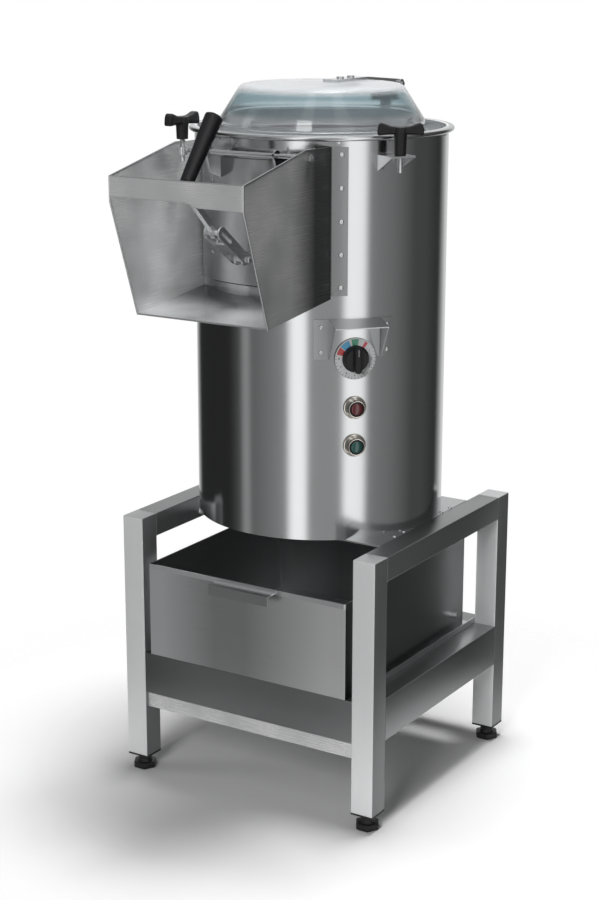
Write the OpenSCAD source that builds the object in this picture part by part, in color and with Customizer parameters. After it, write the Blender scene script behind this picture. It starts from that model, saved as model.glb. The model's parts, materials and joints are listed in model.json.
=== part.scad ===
// Electric potato peeler: a steel peeling drum on a tube stand, with a discharge chute and
// toggle door at the front, a clear hinged lid, timer and push buttons, and a starch box below.
// Millimetres. +Z is up, the floor is z = 0, and the chute points along -Y. The origin is the
// middle of the footprint, so the drum's axis lies axis_y behind it.

/* [Stand] */
// Width over the posts
stand_w = 487; // [440:1:560]
// Depth over the posts
stand_d = 470; // [450:1:560]
// Height of the top rails above the floor
stand_h = 457; // [430:1:520]
// Side of the square tube
tube = 40; // [36:1:44]
// Wall of the tubes
tube_wall = 2; // [1.5:0.5:3]
// Height of the lower rails
rail_h = 72; // [50:1:90]
// Top of the lower rails above the floor
rail_top = 220; // [200:1:240]
// Height of the recessed strip below the front rail
strip_h = 28; // [16:1:40]
// Setback of the strip from the face of the front rail
strip_setback = 6; // [2:1:12]
// Height of the levelling feet under the posts
foot_h = 28.5; // [24:0.5:40]
// Width of a hexagonal foot over its corners
foot_w = 42; // [32:1:48]
// Radius of the threaded stud of a foot
foot_stud_r = 5; // [4:0.5:6]

/* [Drum] */
// Outer radius of the drum
drum_r = 206.5; // [203:0.5:212]
// Wall of the drum
drum_wall = 1.5; // [1:0.5:3]
// Height of the drum with its rim
drum_h = 643; // [620:1:700]
// Radius of the opening in the rim
mouth_r = 202; // [198:0.5:203]
// How far the rim bead stands out from the drum
bead_out = 9; // [6:0.5:14]
// Height of the rim bead
bead_h = 8; // [6:0.5:12]
// Height of the peeling chamber, rim to chamber floor
chamber_h = 259; // [240:1:270]
// Thickness of the abrasive lining
lining_t = 14; // [8:1:20]
// Distance from the rim down to the lining
lining_drop = 46; // [38:1:52]
// Thickness of the base plate and the chamber floor
plate_t = 3; // [2:0.5:4]
// Depth of the base plate, front to back
base_plate_d = 304; // [260:1:340]

/* [Drive] */
// Gap between the abrasive disc and the lining
disc_gap = 7; // [5:1:12]
// Thickness of the abrasive disc
disc_t = 12; // [8:1:16]
// Radius of the main shaft
shaft_r = 14; // [10:1:18]
// Radius of the big pulley
big_pulley_r = 78; // [60:1:85]
// Radius of the motor pulley
small_pulley_r = 26; // [20:1:30]
// Distance between the two pulley shafts
pulley_centres = 124; // [118:1:128]
// Radius of the motor
motor_r = 60; // [50:1:64]
// Height of the stand under the motor
motor_lift = 45; // [30:1:60]
// Radius of the pulp pipe
pulp_pipe_r = 30; // [22:1:36]

/* [Chute and door] */
// Half of the chute's outer width
chute_half_w = 120.4; // [112:0.2:126]
// How far the chute reaches in front of the drum's axis
chute_reach = 410; // [395:1:430]
// Length of the chute's tip in front of its floor
chute_tip = 64; // [50:1:80]
// Distance from the chute's front back to the knee in its top edge
chute_knee = 169; // [150:1:185]
// Sheet thickness of the chute
chute_t = 2; // [1.5:0.5:3]
// Height of the front bar of the chute
bar_h = 37; // [30:1:44]
// How much shallower the bar is on its left part
bar_step = 7; // [3:1:12]
// Width of the chute's flanges on the drum
flange_w = 20; // [18:1:26]
// Height of the discharge opening
port_h = 140; // [110:1:150]
// Half of the width of the discharge opening
port_half_w = 70; // [55:1:76]
// Half of the width of the door
door_half_w = 113; // [96:1:116]
// Thickness of the door
door_t = 2; // [1.5:0.5:3]
// Thickness of the rubber seal round the discharge opening
seal_t = 3; // [2:0.5:5]
// Radius of the door rod
rod_r = 4; // [3:0.5:5]
// How far the door rod stands in front of the drum
rod_out = 26.5; // [24:0.5:34]
// Radius of the lever and link pins
pin_r = 4; // [3:0.5:5]
// Largest radius of the lever grip
grip_r = 15.5; // [12:0.5:17]
// Length of the lever grip
grip_len = 119; // [80:1:125]

/* [Lid] */
// Radius of the lid at its skirt
lid_r = 168; // [150:1:180]
// Radius of the lid's flat top
lid_top_r = 131; // [120:1:140]
// Height of the lid's cone above its skirt
lid_cone_h = 57; // [40:1:65]
// Height of the lid's skirt
lid_skirt_h = 8; // [6:1:20]
// How far the skirt reaches below the top of the rim
lid_sink = 0; // [0:1:14]
// Thickness of the lid
lid_t = 4; // [3:0.5:6]
// Width of the lid strap
strap_w = 30; // [24:1:44]
// Thickness of the lid strap
strap_t = 4.5; // [3:0.5:7]
// Radius of the lid hinge pin
hinge_pin_r = 4; // [3:0.5:5]

/* [Clamps and controls] */
// Width of a wing knob
wing_w = 71; // [60:1:76]
// Radius of a wing knob's screw
screw_r = 4; // [3:0.5:5]
// Diameter of the dial
dial_d = 67; // [56:1:70]
// Diameter of the timer knob
knob_d = 43; // [36:1:48]
// Distance from the rim down to the middle of the dial
dial_drop = 346; // [330:1:360]
// Distance from the dial down to the stop button
stop_drop = 79; // [64:1:90]
// Distance from the stop button down to the start button
start_drop = 61.5; // [50:0.5:75]
// Width of the guard over the dial
hood_w = 86; // [76:1:92]
// How far the guard stands out
hood_out = 40; // [35:1:60]
// Diameter of a button bezel
bezel_d = 37; // [32:1:42]
// Diameter of a button cap
cap_d = 23; // [18:1:25]
// Travel of a button
button_travel = 4; // [2:0.5:5]

/* [Starch box] */
// Gap between the starch box and the post on each side
box_side_gap = 12.5; // [10:0.5:20]
// How far the box ends in front of the stand's back
box_back_gap = 63; // [50:1:110]
// Height of the starch box
box_h = 161; // [120:1:170]
// Wall of the starch box
box_wall = 1.5; // [1:0.5:2.5]
// Width of the box handle
box_handle_w = 115; // [90:1:140]
// Radius of the overflow spout of the box
spout_r = 6; // [4:0.5:7]
// Length of the spout
spout_len = 12; // [6:1:12]

/* [Hidden] */
$fn = 72;
// Clearances: seats of one body, running fits and gaps between bodies
seat = 0.2;
run = 0.05;
gap = 0.3;

// Levels
post_bottom = foot_h;
rail_bottom = rail_top - rail_h;
deck = stand_h;
rim_z = deck + drum_h;
floor_z = rim_z - chamber_h;
port_z = floor_z + 31;
chute_top = rim_z - 16;
bar_top = rim_z - 52;
bar_bottom = bar_top - bar_h;
chute_floor_back = floor_z + 10;
chute_floor_front = floor_z - 11.5;
chute_floor_y = -chute_reach + chute_tip;
chute_knee_y = -chute_reach + chute_knee;

// Drum
inner_r = drum_r - drum_wall;
bead_r = drum_r + bead_out;
lining_r = inner_r - seat;
lining_in_r = lining_r - lining_t;
lining_top = rim_z - lining_drop;

// Drive: pulleys hang below the chamber floor, the motor stands on the base plate
disc_z = floor_z + 9;
disc_r = lining_in_r - disc_gap;
housing_h = 96;
housing_r = 42;
belt_h = 12;
pulley_h = 24;
pulley_z = floor_z - plate_t - housing_h - 12 - pulley_h;
motor_a = 135;
motor_x = pulley_centres * sin(motor_a);
motor_y = -pulley_centres * cos(motor_a);
motor_top = pulley_z - 14;
motor_bottom = deck + motor_lift;
pulp_x = -110;
pulp_y = 70;
pulp_end = rail_top + box_h + 10;

// Door rod, toggle lever and link, as [y, z] in the drum's middle plane
door_in_r = drum_r + seat + seal_t + gap;
door_out_r = door_in_r + door_t;
door_low = floor_z + 25;
door_high = rim_z - 38;
rod_p = [-drum_r - rod_out, rim_z - 28];
lever_p = [-chute_reach + 24, bar_top - 14];
link_door_p = [-door_out_r - 25, floor_z + 69];
toggle_sag = 3.6;
arm_share = 0.5556;
toggle_v = link_door_p - lever_p;
toggle_a = atan2(toggle_v[1], toggle_v[0]) - toggle_sag;
arm_len = arm_share * norm(toggle_v);
link_p = lever_p + arm_len * [cos(toggle_a), sin(toggle_a)];
link_v = link_door_p - link_p;
link_len = norm(link_v);
link_a = atan2(link_v[1], link_v[0]);
grip_a = 51.3;
grip_start = 10;
lever_t = 8;
link_in = 11;
link_t = 3;
link_end_r = 7.5;

// Lid
skirt_low = rim_z - lid_sink;
skirt_top = skirt_low + lid_skirt_h;
lid_top = skirt_top + lid_cone_h;
strap_z = lid_top + gap / 3;
hinge_r = 8;
hinge_y = drum_r + 26.5;
hinge_z = strap_z - 13;
strap_y = 28;
strap_bend_y = lid_top_r - 8;

// The drum's axis lies this far behind the middle of the footprint
axis_y = (chute_reach - hinge_y - hinge_r) / 2;

// Clamps
clamp_a = 62;
clamp_out = 29;
clamp_z = rim_z - 30;
left_clamp_x = -104;
left_clamp_y = rod_p[0] - 10;

// Controls
panel_a = 46.5;
dial_z = rim_z - dial_drop;
red_z = dial_z - stop_drop;
green_z = red_z - start_drop;
hood_top = dial_z + 63;
hood_drop = 7;
hood_h = 63;
hood_t = 1.5;
bezel_h = 15;
cap_out = 17;

// Starch box
box_z = rail_top + gap;
box_front = -stand_d / 2;
box_w = stand_w - 2 * tube - 2 * box_side_gap;
box_d = stand_d - box_back_gap;
runner_t = 2;
runner_leg = 26;

// ---- helpers -------------------------------------------------------------------------------

// Moves a child from the drum's axis to its place over the footprint
module at_axis() { translate([0, axis_y, 0]) children(); }

// A sector of a ring on the drum's axis; angles run from -Y towards +X
module band(r1, r2, z1, z2, a1, a2) {
    rotate([0, 0, a1 - 90]) rotate_extrude(angle = a2 - a1)
        translate([r1, z1]) square([r2 - r1, z2 - z1]);
}

// A full ring on the drum's axis
module ring(r1, r2, z1, z2) {
    translate([0, 0, z1]) difference() {
        cylinder(r = r2, h = z2 - z1);
        translate([0, 0, -1]) cylinder(r = r1, h = z2 - z1 + 2);
    }
}

// Turns local +Z outwards at an angle round the drum, with local +Y up
module outwards(a, z) {
    rotate([0, 0, a]) translate([0, 0, z]) rotate([90, 0, 0]) children();
}

// Extrudes a [y, z] outline along X, from x1 to x2
module side_plate(x1, x2) {
    translate([x1, 0, 0]) rotate([90, 0, 90]) linear_extrude(height = x2 - x1) children();
}

// A square tube along Y, X or Z from its lowest corner, hollow from end to end
module tube_y(w, h, l) {
    difference() {
        cube([w, l, h]);
        translate([tube_wall, -1, tube_wall]) cube([w - 2 * tube_wall, l + 2, h - 2 * tube_wall]);
    }
}
module tube_x(w, h, l) {
    difference() {
        cube([l, w, h]);
        translate([-1, tube_wall, tube_wall]) cube([l + 2, w - 2 * tube_wall, h - 2 * tube_wall]);
    }
}

// The four corners of the stand: post centres
corners = [for (sx = [-1, 1]) for (sy = [-1, 1])
    [sx * (stand_w - tube) / 2, sy * (stand_d - tube) / 2]];

// ---- stand ---------------------------------------------------------------------------------

module posts() color([0.7, 0.71, 0.72]) at_axis() {
    for (p = corners) translate([p[0] - tube / 2, p[1] - tube / 2, post_bottom]) difference() {
        cube([tube, tube, stand_h - post_bottom]);
        translate([tube_wall, tube_wall, -1])
            cube([tube - 2 * tube_wall, tube - 2 * tube_wall, stand_h - post_bottom - tube_wall + 1]);
    }
}

module top_rails() color([0.62, 0.63, 0.64]) at_axis() {
    for (x = [-stand_w / 2, stand_w / 2 - tube])
        translate([x, -stand_d / 2 + tube, stand_h - tube]) tube_y(tube, tube, stand_d - 2 * tube);
}

module front_rail() color([0.65, 0.66, 0.67]) at_axis() {
    translate([-stand_w / 2 + tube, -stand_d / 2, rail_bottom]) tube_x(tube, rail_h, stand_w - 2 * tube);
}

module rear_rail() color([0.65, 0.66, 0.67]) at_axis() {
    translate([-stand_w / 2 + tube, stand_d / 2 - tube, rail_bottom])
        tube_x(tube, rail_h, stand_w - 2 * tube);
}

module side_rail(x) {
    translate([x, -stand_d / 2 + tube, rail_bottom]) tube_y(tube, rail_h, stand_d - 2 * tube);
}
module left_rail() color([0.6, 0.61, 0.62]) at_axis() side_rail(-stand_w / 2);
module right_rail() color([0.6, 0.61, 0.62]) at_axis() side_rail(stand_w / 2 - tube);

// A channel, open at the back, hung under the front rail
module front_strip() color([0.55, 0.56, 0.57]) at_axis() {
    translate([-stand_w / 2 + tube, -stand_d / 2 + strip_setback, rail_bottom - strip_h])
        difference() {
            cube([stand_w - 2 * tube, tube - 2 * strip_setback, strip_h]);
            translate([-1, tube_wall, tube_wall])
                cube([stand_w - 2 * tube + 2, tube, strip_h - 2 * tube_wall]);
        }
}

// Two small tubes across the stand, under the base plate and clear of the pulp pipe
cross_h = 25;
cross_y = [-60, base_plate_d / 2 - 34];
module cross_members() color([0.5, 0.51, 0.52]) at_axis() {
    for (y = cross_y) translate([-stand_w / 2 + tube, y - cross_h / 2, stand_h - plate_t - cross_h])
        tube_x(cross_h, cross_h, stand_w - 2 * tube);
}

// Plate under the drum, with its left front corner cut off
plate_half_w = stand_w / 2 - tube;
plate_cut_x = 56;
plate_cut_y = 92;
module base_plate() color([0.6, 0.61, 0.62]) at_axis() difference() {
    translate([0, 0, stand_h - plate_t]) linear_extrude(height = plate_t) polygon([
        [-plate_half_w, -base_plate_d / 2 + plate_cut_y], [-plate_half_w + plate_cut_x, -base_plate_d / 2],
        [plate_half_w, -base_plate_d / 2], [plate_half_w, base_plate_d / 2],
        [-plate_half_w, base_plate_d / 2]]);
    translate([pulp_x, pulp_y, stand_h - plate_t - 1]) cylinder(r = pulp_pipe_r + seat, h = plate_t + 2);
}

// Screws of the plate, as shares of its depth; the left ones stay behind the cut corner
plate_screw_r = 3;
right_screws = [-0.316, -0.215, 0.215, 0.316];
left_screws = [0.215, 0.316];
module plate_screw(x, share) {
    translate([x, share * base_plate_d, stand_h]) cylinder(r = plate_screw_r, h = 2);
}
module plate_screws() color([0.8, 0.8, 0.8]) at_axis() {
    screw_x = plate_half_w - plate_screw_r - 0.5;
    for (share = right_screws) plate_screw(screw_x, share);
    for (share = left_screws) plate_screw(-screw_x, share);
}

plug_t = 3;
plug_in = 16;
module post_plugs() color([0.08, 0.08, 0.08]) at_axis() {
    plug_w = tube - 2 * tube_wall - 2 * seat;
    for (p = corners) translate([p[0], p[1], 0]) difference() {
        union() {
            translate([-tube / 2, -tube / 2, post_bottom - plug_t]) cube([tube, tube, plug_t]);
            translate([-plug_w / 2, -plug_w / 2, post_bottom]) cube([plug_w, plug_w, plug_in]);
        }
        translate([0, 0, post_bottom - plug_t - 1]) cylinder(r = foot_stud_r + run, h = plug_t + plug_in + 2);
    }
}

// Hexagonal foot with a round neck and a threaded stud up into the post plug
module levelling_foot(p) color([0.07, 0.07, 0.07]) at_axis() translate([p[0], p[1], 0]) {
    foot_base_h = 11;
    cylinder(r = foot_w / 2, h = foot_base_h, $fn = 6);
    translate([0, 0, foot_base_h])
        cylinder(r = foot_w * 0.28, h = post_bottom - plug_t - gap - foot_base_h);
    translate([0, 0, foot_base_h]) cylinder(r = foot_stud_r, h = post_bottom + plug_in + 6 - foot_base_h);
}
module foot_front_left() levelling_foot(corners[0]);
module foot_rear_left() levelling_foot(corners[1]);
module foot_front_right() levelling_foot(corners[2]);
module foot_rear_right() levelling_foot(corners[3]);

// Angles on the side rails that carry the starch box, with a bolt near each end
module box_runners() color([0.45, 0.46, 0.47]) at_axis() {
    inner_x = stand_w / 2 - tube;
    for (s = [-1, 1]) mirror([s < 0 ? 1 : 0, 0, 0]) {
        translate([inner_x - runner_t, -stand_d / 2 + tube, rail_top - runner_leg])
            cube([runner_t, stand_d - 2 * tube, runner_leg + 10]);
        translate([inner_x - runner_leg, -stand_d / 2 + tube, rail_top - runner_t])
            cube([runner_leg - runner_t, stand_d - 2 * tube, runner_t]);
        for (y = [-stand_d / 2 + tube + 16, stand_d / 2 - tube - 16])
            translate([inner_x - runner_t, y, rail_top - 12]) rotate([0, -90, 0])
                cylinder(r = 5, h = 4, $fn = 6);
    }
}

// ---- drum ----------------------------------------------------------------------------------

module port_cut(half_w, z1, z2) {
    translate([-half_w, -drum_r - 20, z1]) cube([2 * half_w, 60, z2 - z1]);
}

water_a = 156;
water_z = rim_z - 30;
gland_a = 150;
gland_z = deck + 60;
pipe_r = 10.48;

module drum_shell() color([0.75, 0.76, 0.77]) at_axis() difference() {
    ring(inner_r, drum_r, deck, rim_z - bead_h);
    port_cut(port_half_w, port_z, port_z + port_h);
    outwards(panel_a, dial_z) cylinder(r = 3.5, h = drum_r + 10);
    for (z = [red_z, green_z]) outwards(panel_a, z) cylinder(r = 11.2, h = drum_r + 10);
    outwards(water_a, water_z) cylinder(r = pipe_r + seat, h = drum_r + 10);
    outwards(gland_a, gland_z) cylinder(r = 8 + seat, h = drum_r + 10);
}

// Rolled rim: a flat ring with a round outer bead
module rim_ring() color([0.6, 0.61, 0.62]) at_axis() rotate_extrude() {
    translate([mouth_r, rim_z - bead_h]) square([bead_r - mouth_r - bead_h / 2, bead_h]);
    translate([bead_r - bead_h / 2, rim_z - bead_h / 2]) circle(r = bead_h / 2, $fn = 32);
}

module chamber_floor() color([0.55, 0.56, 0.57]) at_axis() difference() {
    union() {
        translate([0, 0, floor_z - plate_t]) cylinder(r = inner_r - seat, h = plate_t);
        ring(inner_r - seat - plate_t, inner_r - seat, floor_z - 20, floor_z);
    }
    translate([0, 0, floor_z - plate_t - 1]) cylinder(r = shaft_r + 3, h = plate_t + 2);
    translate([pulp_x, pulp_y, floor_z - plate_t - 1]) cylinder(r = pulp_pipe_r + seat, h = plate_t + 2);
}

module abrasive_lining() color([0.25, 0.26, 0.28]) at_axis() difference() {
    ring(lining_in_r, lining_r, floor_z, lining_top);
    port_cut(port_half_w, port_z, port_z + port_h);
}

module bearing_housing() color([0.4, 0.42, 0.45]) at_axis() difference() {
    union() {
        translate([0, 0, floor_z - plate_t - 10]) cylinder(r = housing_r + 22, h = 10);
        translate([0, 0, floor_z - plate_t - housing_h]) cylinder(r = housing_r, h = housing_h - 10);
    }
    translate([0, 0, floor_z - plate_t - housing_h - 1]) cylinder(r = shaft_r + run, h = housing_h + 2);
}

module main_shaft() color([0.7, 0.7, 0.7]) at_axis() {
    translate([0, 0, pulley_z - 6]) cylinder(r = shaft_r, h = disc_z - pulley_z + 6);
}

// Disc with three low waves on its face, which throw the potatoes against the lining
module abrasive_disc() color([0.2, 0.21, 0.22]) at_axis() {
    translate([0, 0, disc_z]) cylinder(r = disc_r, h = disc_t);
    wave_r = 26;
    wave_rise = 9;
    for (a = [0, 120, 240]) rotate([0, 0, a]) intersection() {
        translate([30, 0, disc_z + disc_t + wave_rise - wave_r]) rotate([0, 90, 0])
            cylinder(r = wave_r, h = disc_r - 42);
        translate([0, -wave_r, disc_z + disc_t]) cube([disc_r, 2 * wave_r, wave_rise]);
    }
}

// A pulley with a V groove for the belt
module pulley(r, bore) {
    groove = 8;
    difference() {
        rotate_extrude() polygon([[bore, 0], [r, 0], [r, 5], [r - groove, 9], [r - groove, pulley_h - 9],
            [r, pulley_h - 5], [r, pulley_h], [bore, pulley_h]]);
    }
}
module big_pulley() color([0.35, 0.36, 0.38]) at_axis() translate([0, 0, pulley_z])
    pulley(big_pulley_r, shaft_r + seat);

motor_shaft_r = 8;
motor_shaft_in = 60;
module motor_pulley() color([0.35, 0.36, 0.38]) at_axis() translate([motor_x, motor_y, pulley_z]) {
    pulley(small_pulley_r, motor_shaft_r - 1);
    translate([0, 0, motor_top - motor_shaft_in + 1 - pulley_z])
        cylinder(r = motor_shaft_r, h = pulley_z + pulley_h + 3 - motor_top + motor_shaft_in);
}

module motor() color([0.2, 0.28, 0.4]) at_axis() translate([motor_x, motor_y, 0]) {
    difference() {
        translate([0, 0, motor_bottom]) cylinder(r = motor_r, h = motor_top - motor_bottom);
        translate([0, 0, motor_top - motor_shaft_in]) cylinder(r = motor_shaft_r + run, h = motor_shaft_in + 1);
    }
}

module motor_stand() color([0.5, 0.51, 0.52]) at_axis() translate([motor_x, motor_y, 0]) {
    stand_t = 6;
    translate([0, 0, deck]) cylinder(r = motor_r - 2, h = stand_t);
    translate([0, 0, motor_bottom - stand_t]) cylinder(r = motor_r - 2, h = stand_t);
    for (a = [45, 135, 225, 315]) rotate([0, 0, a])
        translate([motor_r - 14, 0, deck + stand_t / 2])
            cylinder(r = 6, h = motor_bottom - deck - stand_t);
}

// The belt: two straight runs and the two wraps, in the grooves with a little air
module v_belt() color([0.05, 0.05, 0.05]) at_axis() {
    big = big_pulley_r - 8 + gap;
    small = small_pulley_r - 8 + gap;
    thick = 6;
    lean = asin((big - small) / pulley_centres);
    z = pulley_z + (pulley_h - 5) / 2;
    height = 5;
    run_len = pulley_centres * cos(lean);
    rotate([0, 0, motor_a - 90]) translate([0, 0, z]) {
        difference() {
            union() {
                cylinder(r = big + thick, h = height);
                translate([pulley_centres, 0, 0]) cylinder(r = small + thick, h = height);
                linear_extrude(height = height) polygon([
                    (big + thick) * [sin(lean), cos(lean)],
                    (small + thick) * [sin(lean), cos(lean)] + [pulley_centres, 0],
                    (small + thick) * [sin(lean), -cos(lean)] + [pulley_centres, 0],
                    (big + thick) * [sin(lean), -cos(lean)]]);
            }
            translate([0, 0, -1]) cylinder(r = big, h = height + 2);
            translate([pulley_centres, 0, -1]) cylinder(r = small, h = height + 2);
            translate([0, 0, -1]) linear_extrude(height = height + 2) polygon([
                big * [sin(lean), cos(lean)],
                small * [sin(lean), cos(lean)] + [pulley_centres, 0],
                small * [sin(lean), -cos(lean)] + [pulley_centres, 0],
                big * [sin(lean), -cos(lean)]]);
        }
    }
}

module pulp_pipe() color([0.65, 0.66, 0.67]) at_axis() translate([pulp_x, pulp_y, 0])
    ring(pulp_pipe_r - 2, pulp_pipe_r, pulp_end, floor_z);

// Threaded spigot with a collar, carried through the drum above the lining
module water_inlet() color([0.72, 0.68, 0.5]) at_axis() outwards(water_a, water_z) difference() {
    union() {
        translate([0, 0, inner_r - 12]) cylinder(r = pipe_r, h = 48);
        translate([0, 0, drum_r + seat]) cylinder(r = pipe_r + 5, h = 6, $fn = 6);
        translate([0, 0, inner_r - 6]) cylinder(r = pipe_r + 5, h = 4, $fn = 6);
    }
    translate([0, 0, inner_r - 13]) cylinder(r = pipe_r - 3, h = 50);
}

module cable_gland() color([0.07, 0.07, 0.07]) at_axis() outwards(gland_a, gland_z) difference() {
    union() {
        translate([0, 0, inner_r - 10]) cylinder(r = 8, h = 30);
        translate([0, 0, drum_r + 0.6]) cylinder(r = 12, h = 5, $fn = 6);
        translate([0, 0, inner_r - 5]) cylinder(r = 12, h = 3.5, $fn = 6);
    }
    translate([0, 0, inner_r - 11]) cylinder(r = 5, h = 32);
}

// ---- chute and door ------------------------------------------------------------------------

// Outline of a chute wall, as [y, z]; its rear edge runs into the drum
wall_rear = -drum_r + 60;
module wall_outline() {
    polygon([[-chute_reach, bar_top], [-chute_reach, bar_bottom], [chute_floor_y, chute_floor_front],
        [wall_rear, chute_floor_back], [wall_rear, chute_top], [chute_knee_y, chute_top]]);
}

flange_a1 = asin(chute_half_w / drum_r);
flange_a2 = asin((chute_half_w + flange_w) / drum_r);
flange_t = 2;
module chute_walls() color([0.68, 0.69, 0.7]) at_axis() difference() {
    union() {
        for (x = [-chute_half_w, chute_half_w - chute_t]) side_plate(x, x + chute_t) wall_outline();
        for (s = [0, 1]) mirror([s, 0, 0])
            band(drum_r + seat, drum_r + seat + flange_t, chute_floor_back + 3, chute_top - 1,
                flange_a1 - 0.3, flange_a2);
    }
    cylinder(r = drum_r + seat, h = rim_z + 1, $fn = 144);
    translate([0, rod_p[0], rod_p[1]]) rotate([0, 90, 0])
        cylinder(r = rod_r + seat, h = 4 * chute_half_w, center = true);
}

module chute_floor() color([0.62, 0.63, 0.64]) at_axis() difference() {
    side_plate(-chute_half_w + chute_t, chute_half_w - chute_t)
        polygon([[chute_floor_y, chute_floor_front], [wall_rear, chute_floor_back],
            [wall_rear, chute_floor_back + chute_t], [chute_floor_y, chute_floor_front + chute_t]]);
    cylinder(r = drum_r + seat, h = rim_z + 1, $fn = 144);
}

// Front bar, deeper on the lever's side
module chute_bar() color([0.6, 0.61, 0.62]) at_axis()
    translate([0, -chute_reach + chute_t, 0]) rotate([90, 0, 0]) linear_extrude(height = chute_t)
        polygon([[-chute_half_w + chute_t, bar_top], [-chute_half_w + chute_t, bar_bottom + bar_step],
            [18, bar_bottom + bar_step], [42, bar_bottom], [chute_half_w - chute_t, bar_bottom],
            [chute_half_w - chute_t, bar_top]]);

module chute_screws() color([0.85, 0.85, 0.85]) at_axis() {
    screw_a = (flange_a1 + flange_a2) / 2 + 0.8;
    for (s = [-1, 1]) for (z = [0 : 4])
        outwards(s * screw_a, chute_floor_back + 16 + z * (chute_top - chute_floor_back - 28) / 4)
            translate([0, 0, drum_r + 2 * seat + flange_t]) cylinder(r = 3.6, h = 2, $fn = 24);
}

module door_rod() color([0.75, 0.75, 0.75]) at_axis() translate([0, rod_p[0], rod_p[1]])
    rotate([0, 90, 0]) {
        translate([0, 0, -chute_half_w - 1]) cylinder(r = rod_r, h = 2 * chute_half_w + 2);
        for (s = [-1, 1]) translate([0, 0, s * (chute_half_w + 2.6)])
            cylinder(r = rod_r + 2.5, h = 5, center = true, $fn = 6);
    }

seal_rim = 12;
module seal_band(half_w, z1, z2) {
    a = asin(half_w / drum_r);
    band(drum_r + seat, drum_r + seat + seal_t, z1, z2, -a, a);
}
module door_seal() color([0.1, 0.1, 0.1]) at_axis() difference() {
    seal_band(port_half_w + seal_rim, port_z - 8, port_z + port_h + seal_rim);
    port_cut(port_half_w, port_z, port_z + port_h);
}

// Curved flap hung on the rod by two lugs
lug_x = [-64, 60];
lug_t = 4;
lug_r = 9;
module discharge_door() color([0.7, 0.71, 0.72]) at_axis() {
    half_a = asin(door_half_w / door_in_r);
    band(door_in_r, door_out_r, door_low, door_high, -half_a, half_a);
    difference() {
        for (x = lug_x) side_plate(x, x + lug_t) {
            translate(rod_p) circle(r = lug_r, $fn = 48);
            polygon([[rod_p[0] - lug_r * 0.7, rod_p[1] - lug_r * 0.7], [rod_p[0] + lug_r * 0.5, rod_p[1] + 4],
                [-door_in_r + 12, door_high], [-door_in_r + 12, door_high - 34],
                [rod_p[0] + 4, rod_p[1] - 34]]);
        }
        cylinder(r = door_in_r + 0.5, h = rim_z + 1, $fn = 144);
        translate([0, rod_p[0], rod_p[1]]) rotate([0, 90, 0])
            cylinder(r = rod_r + run, h = 4 * chute_half_w, center = true);
    }
    for (x = [-86, 86]) for (z = [door_low + 43, door_high - 38])
        outwards(asin(x / door_out_r), z) translate([0, 0, door_out_r - 0.5])
            cylinder(r = 4, h = 2.5, $fn = 24);
}

// Curved block behind the door that fills the discharge opening
module door_liner() color([0.25, 0.26, 0.28]) at_axis() {
    half_a = asin((port_half_w - 4) / door_in_r);
    band(lining_in_r + 0.5, door_in_r, port_z + 9, port_z + port_h - 4, -half_a, half_a);
}

// Ears on the door for the link, with their pin between them
ear_in = 5;
ear_t = 3;
ear_r = 9;
module door_ears() color([0.6, 0.61, 0.62]) at_axis() difference() {
    union() {
        for (x = [-ear_in - ear_t, ear_in]) side_plate(x, x + ear_t) {
            translate(link_door_p) circle(r = ear_r, $fn = 48);
            translate([link_door_p[0], link_door_p[1] - ear_r])
                square([-link_door_p[0] - door_out_r + 4, 2 * ear_r]);
        }
        translate([0, link_door_p[0], link_door_p[1]]) rotate([0, 90, 0]) {
            cylinder(r = pin_r, h = 2 * (link_in + link_t + 3), center = true);
            for (s = [-1, 1]) translate([0, 0, s * (link_in + link_t + 2.4)])
                cylinder(r = 6, h = 3, center = true);
        }
    }
    cylinder(r = door_out_r + seat, h = rim_z + 1, $fn = 144);
}

// Two ears behind the front bar with the lever's pivot pin
bracket_in = 6;
module lever_bracket() color([0.6, 0.61, 0.62]) at_axis() {
    for (x = [-bracket_in - ear_t, bracket_in]) side_plate(x, x + ear_t) {
        translate(lever_p) circle(r = ear_r, $fn = 48);
        translate([-chute_reach + chute_t, lever_p[1] - ear_r])
            square([lever_p[0] + chute_reach - chute_t, 2 * ear_r]);
    }
    translate([0, lever_p[0], lever_p[1]]) rotate([0, 90, 0])
        cylinder(r = pin_r, h = 2 * (bracket_in + ear_t) + 4, center = true);
}

// Bell-crank lever: a flat arm to the link pin and a round tang into the grip
eye_r = 9;
arm_half_w = 5;
tang_r = 5;
module lever_arm() color([0.75, 0.75, 0.76]) at_axis() difference() {
    union() {
        side_plate(-lever_t / 2, lever_t / 2) {
            translate(lever_p) circle(r = eye_r, $fn = 48);
            translate(link_p) circle(r = eye_r, $fn = 48);
            translate(lever_p) rotate([0, 0, toggle_a]) translate([0, -arm_half_w])
                square([arm_len, 2 * arm_half_w]);
            translate(lever_p) rotate([0, 0, grip_a]) translate([0, -arm_half_w])
                square([grip_start - 2, 2 * arm_half_w]);
        }
        translate([0, lever_p[0], lever_p[1]]) rotate([grip_a - 90, 0, 0])
            translate([0, 0, eye_r]) cylinder(r = tang_r, h = grip_start + 40 - eye_r);
        translate([0, link_p[0], link_p[1]]) rotate([0, 90, 0])
            cylinder(r = pin_r, h = 2 * link_in - 1, center = true);
    }
    translate([0, lever_p[0], lever_p[1]]) rotate([0, 90, 0])
        cylinder(r = pin_r + run, h = 4 * lever_t, center = true);
}

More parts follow.
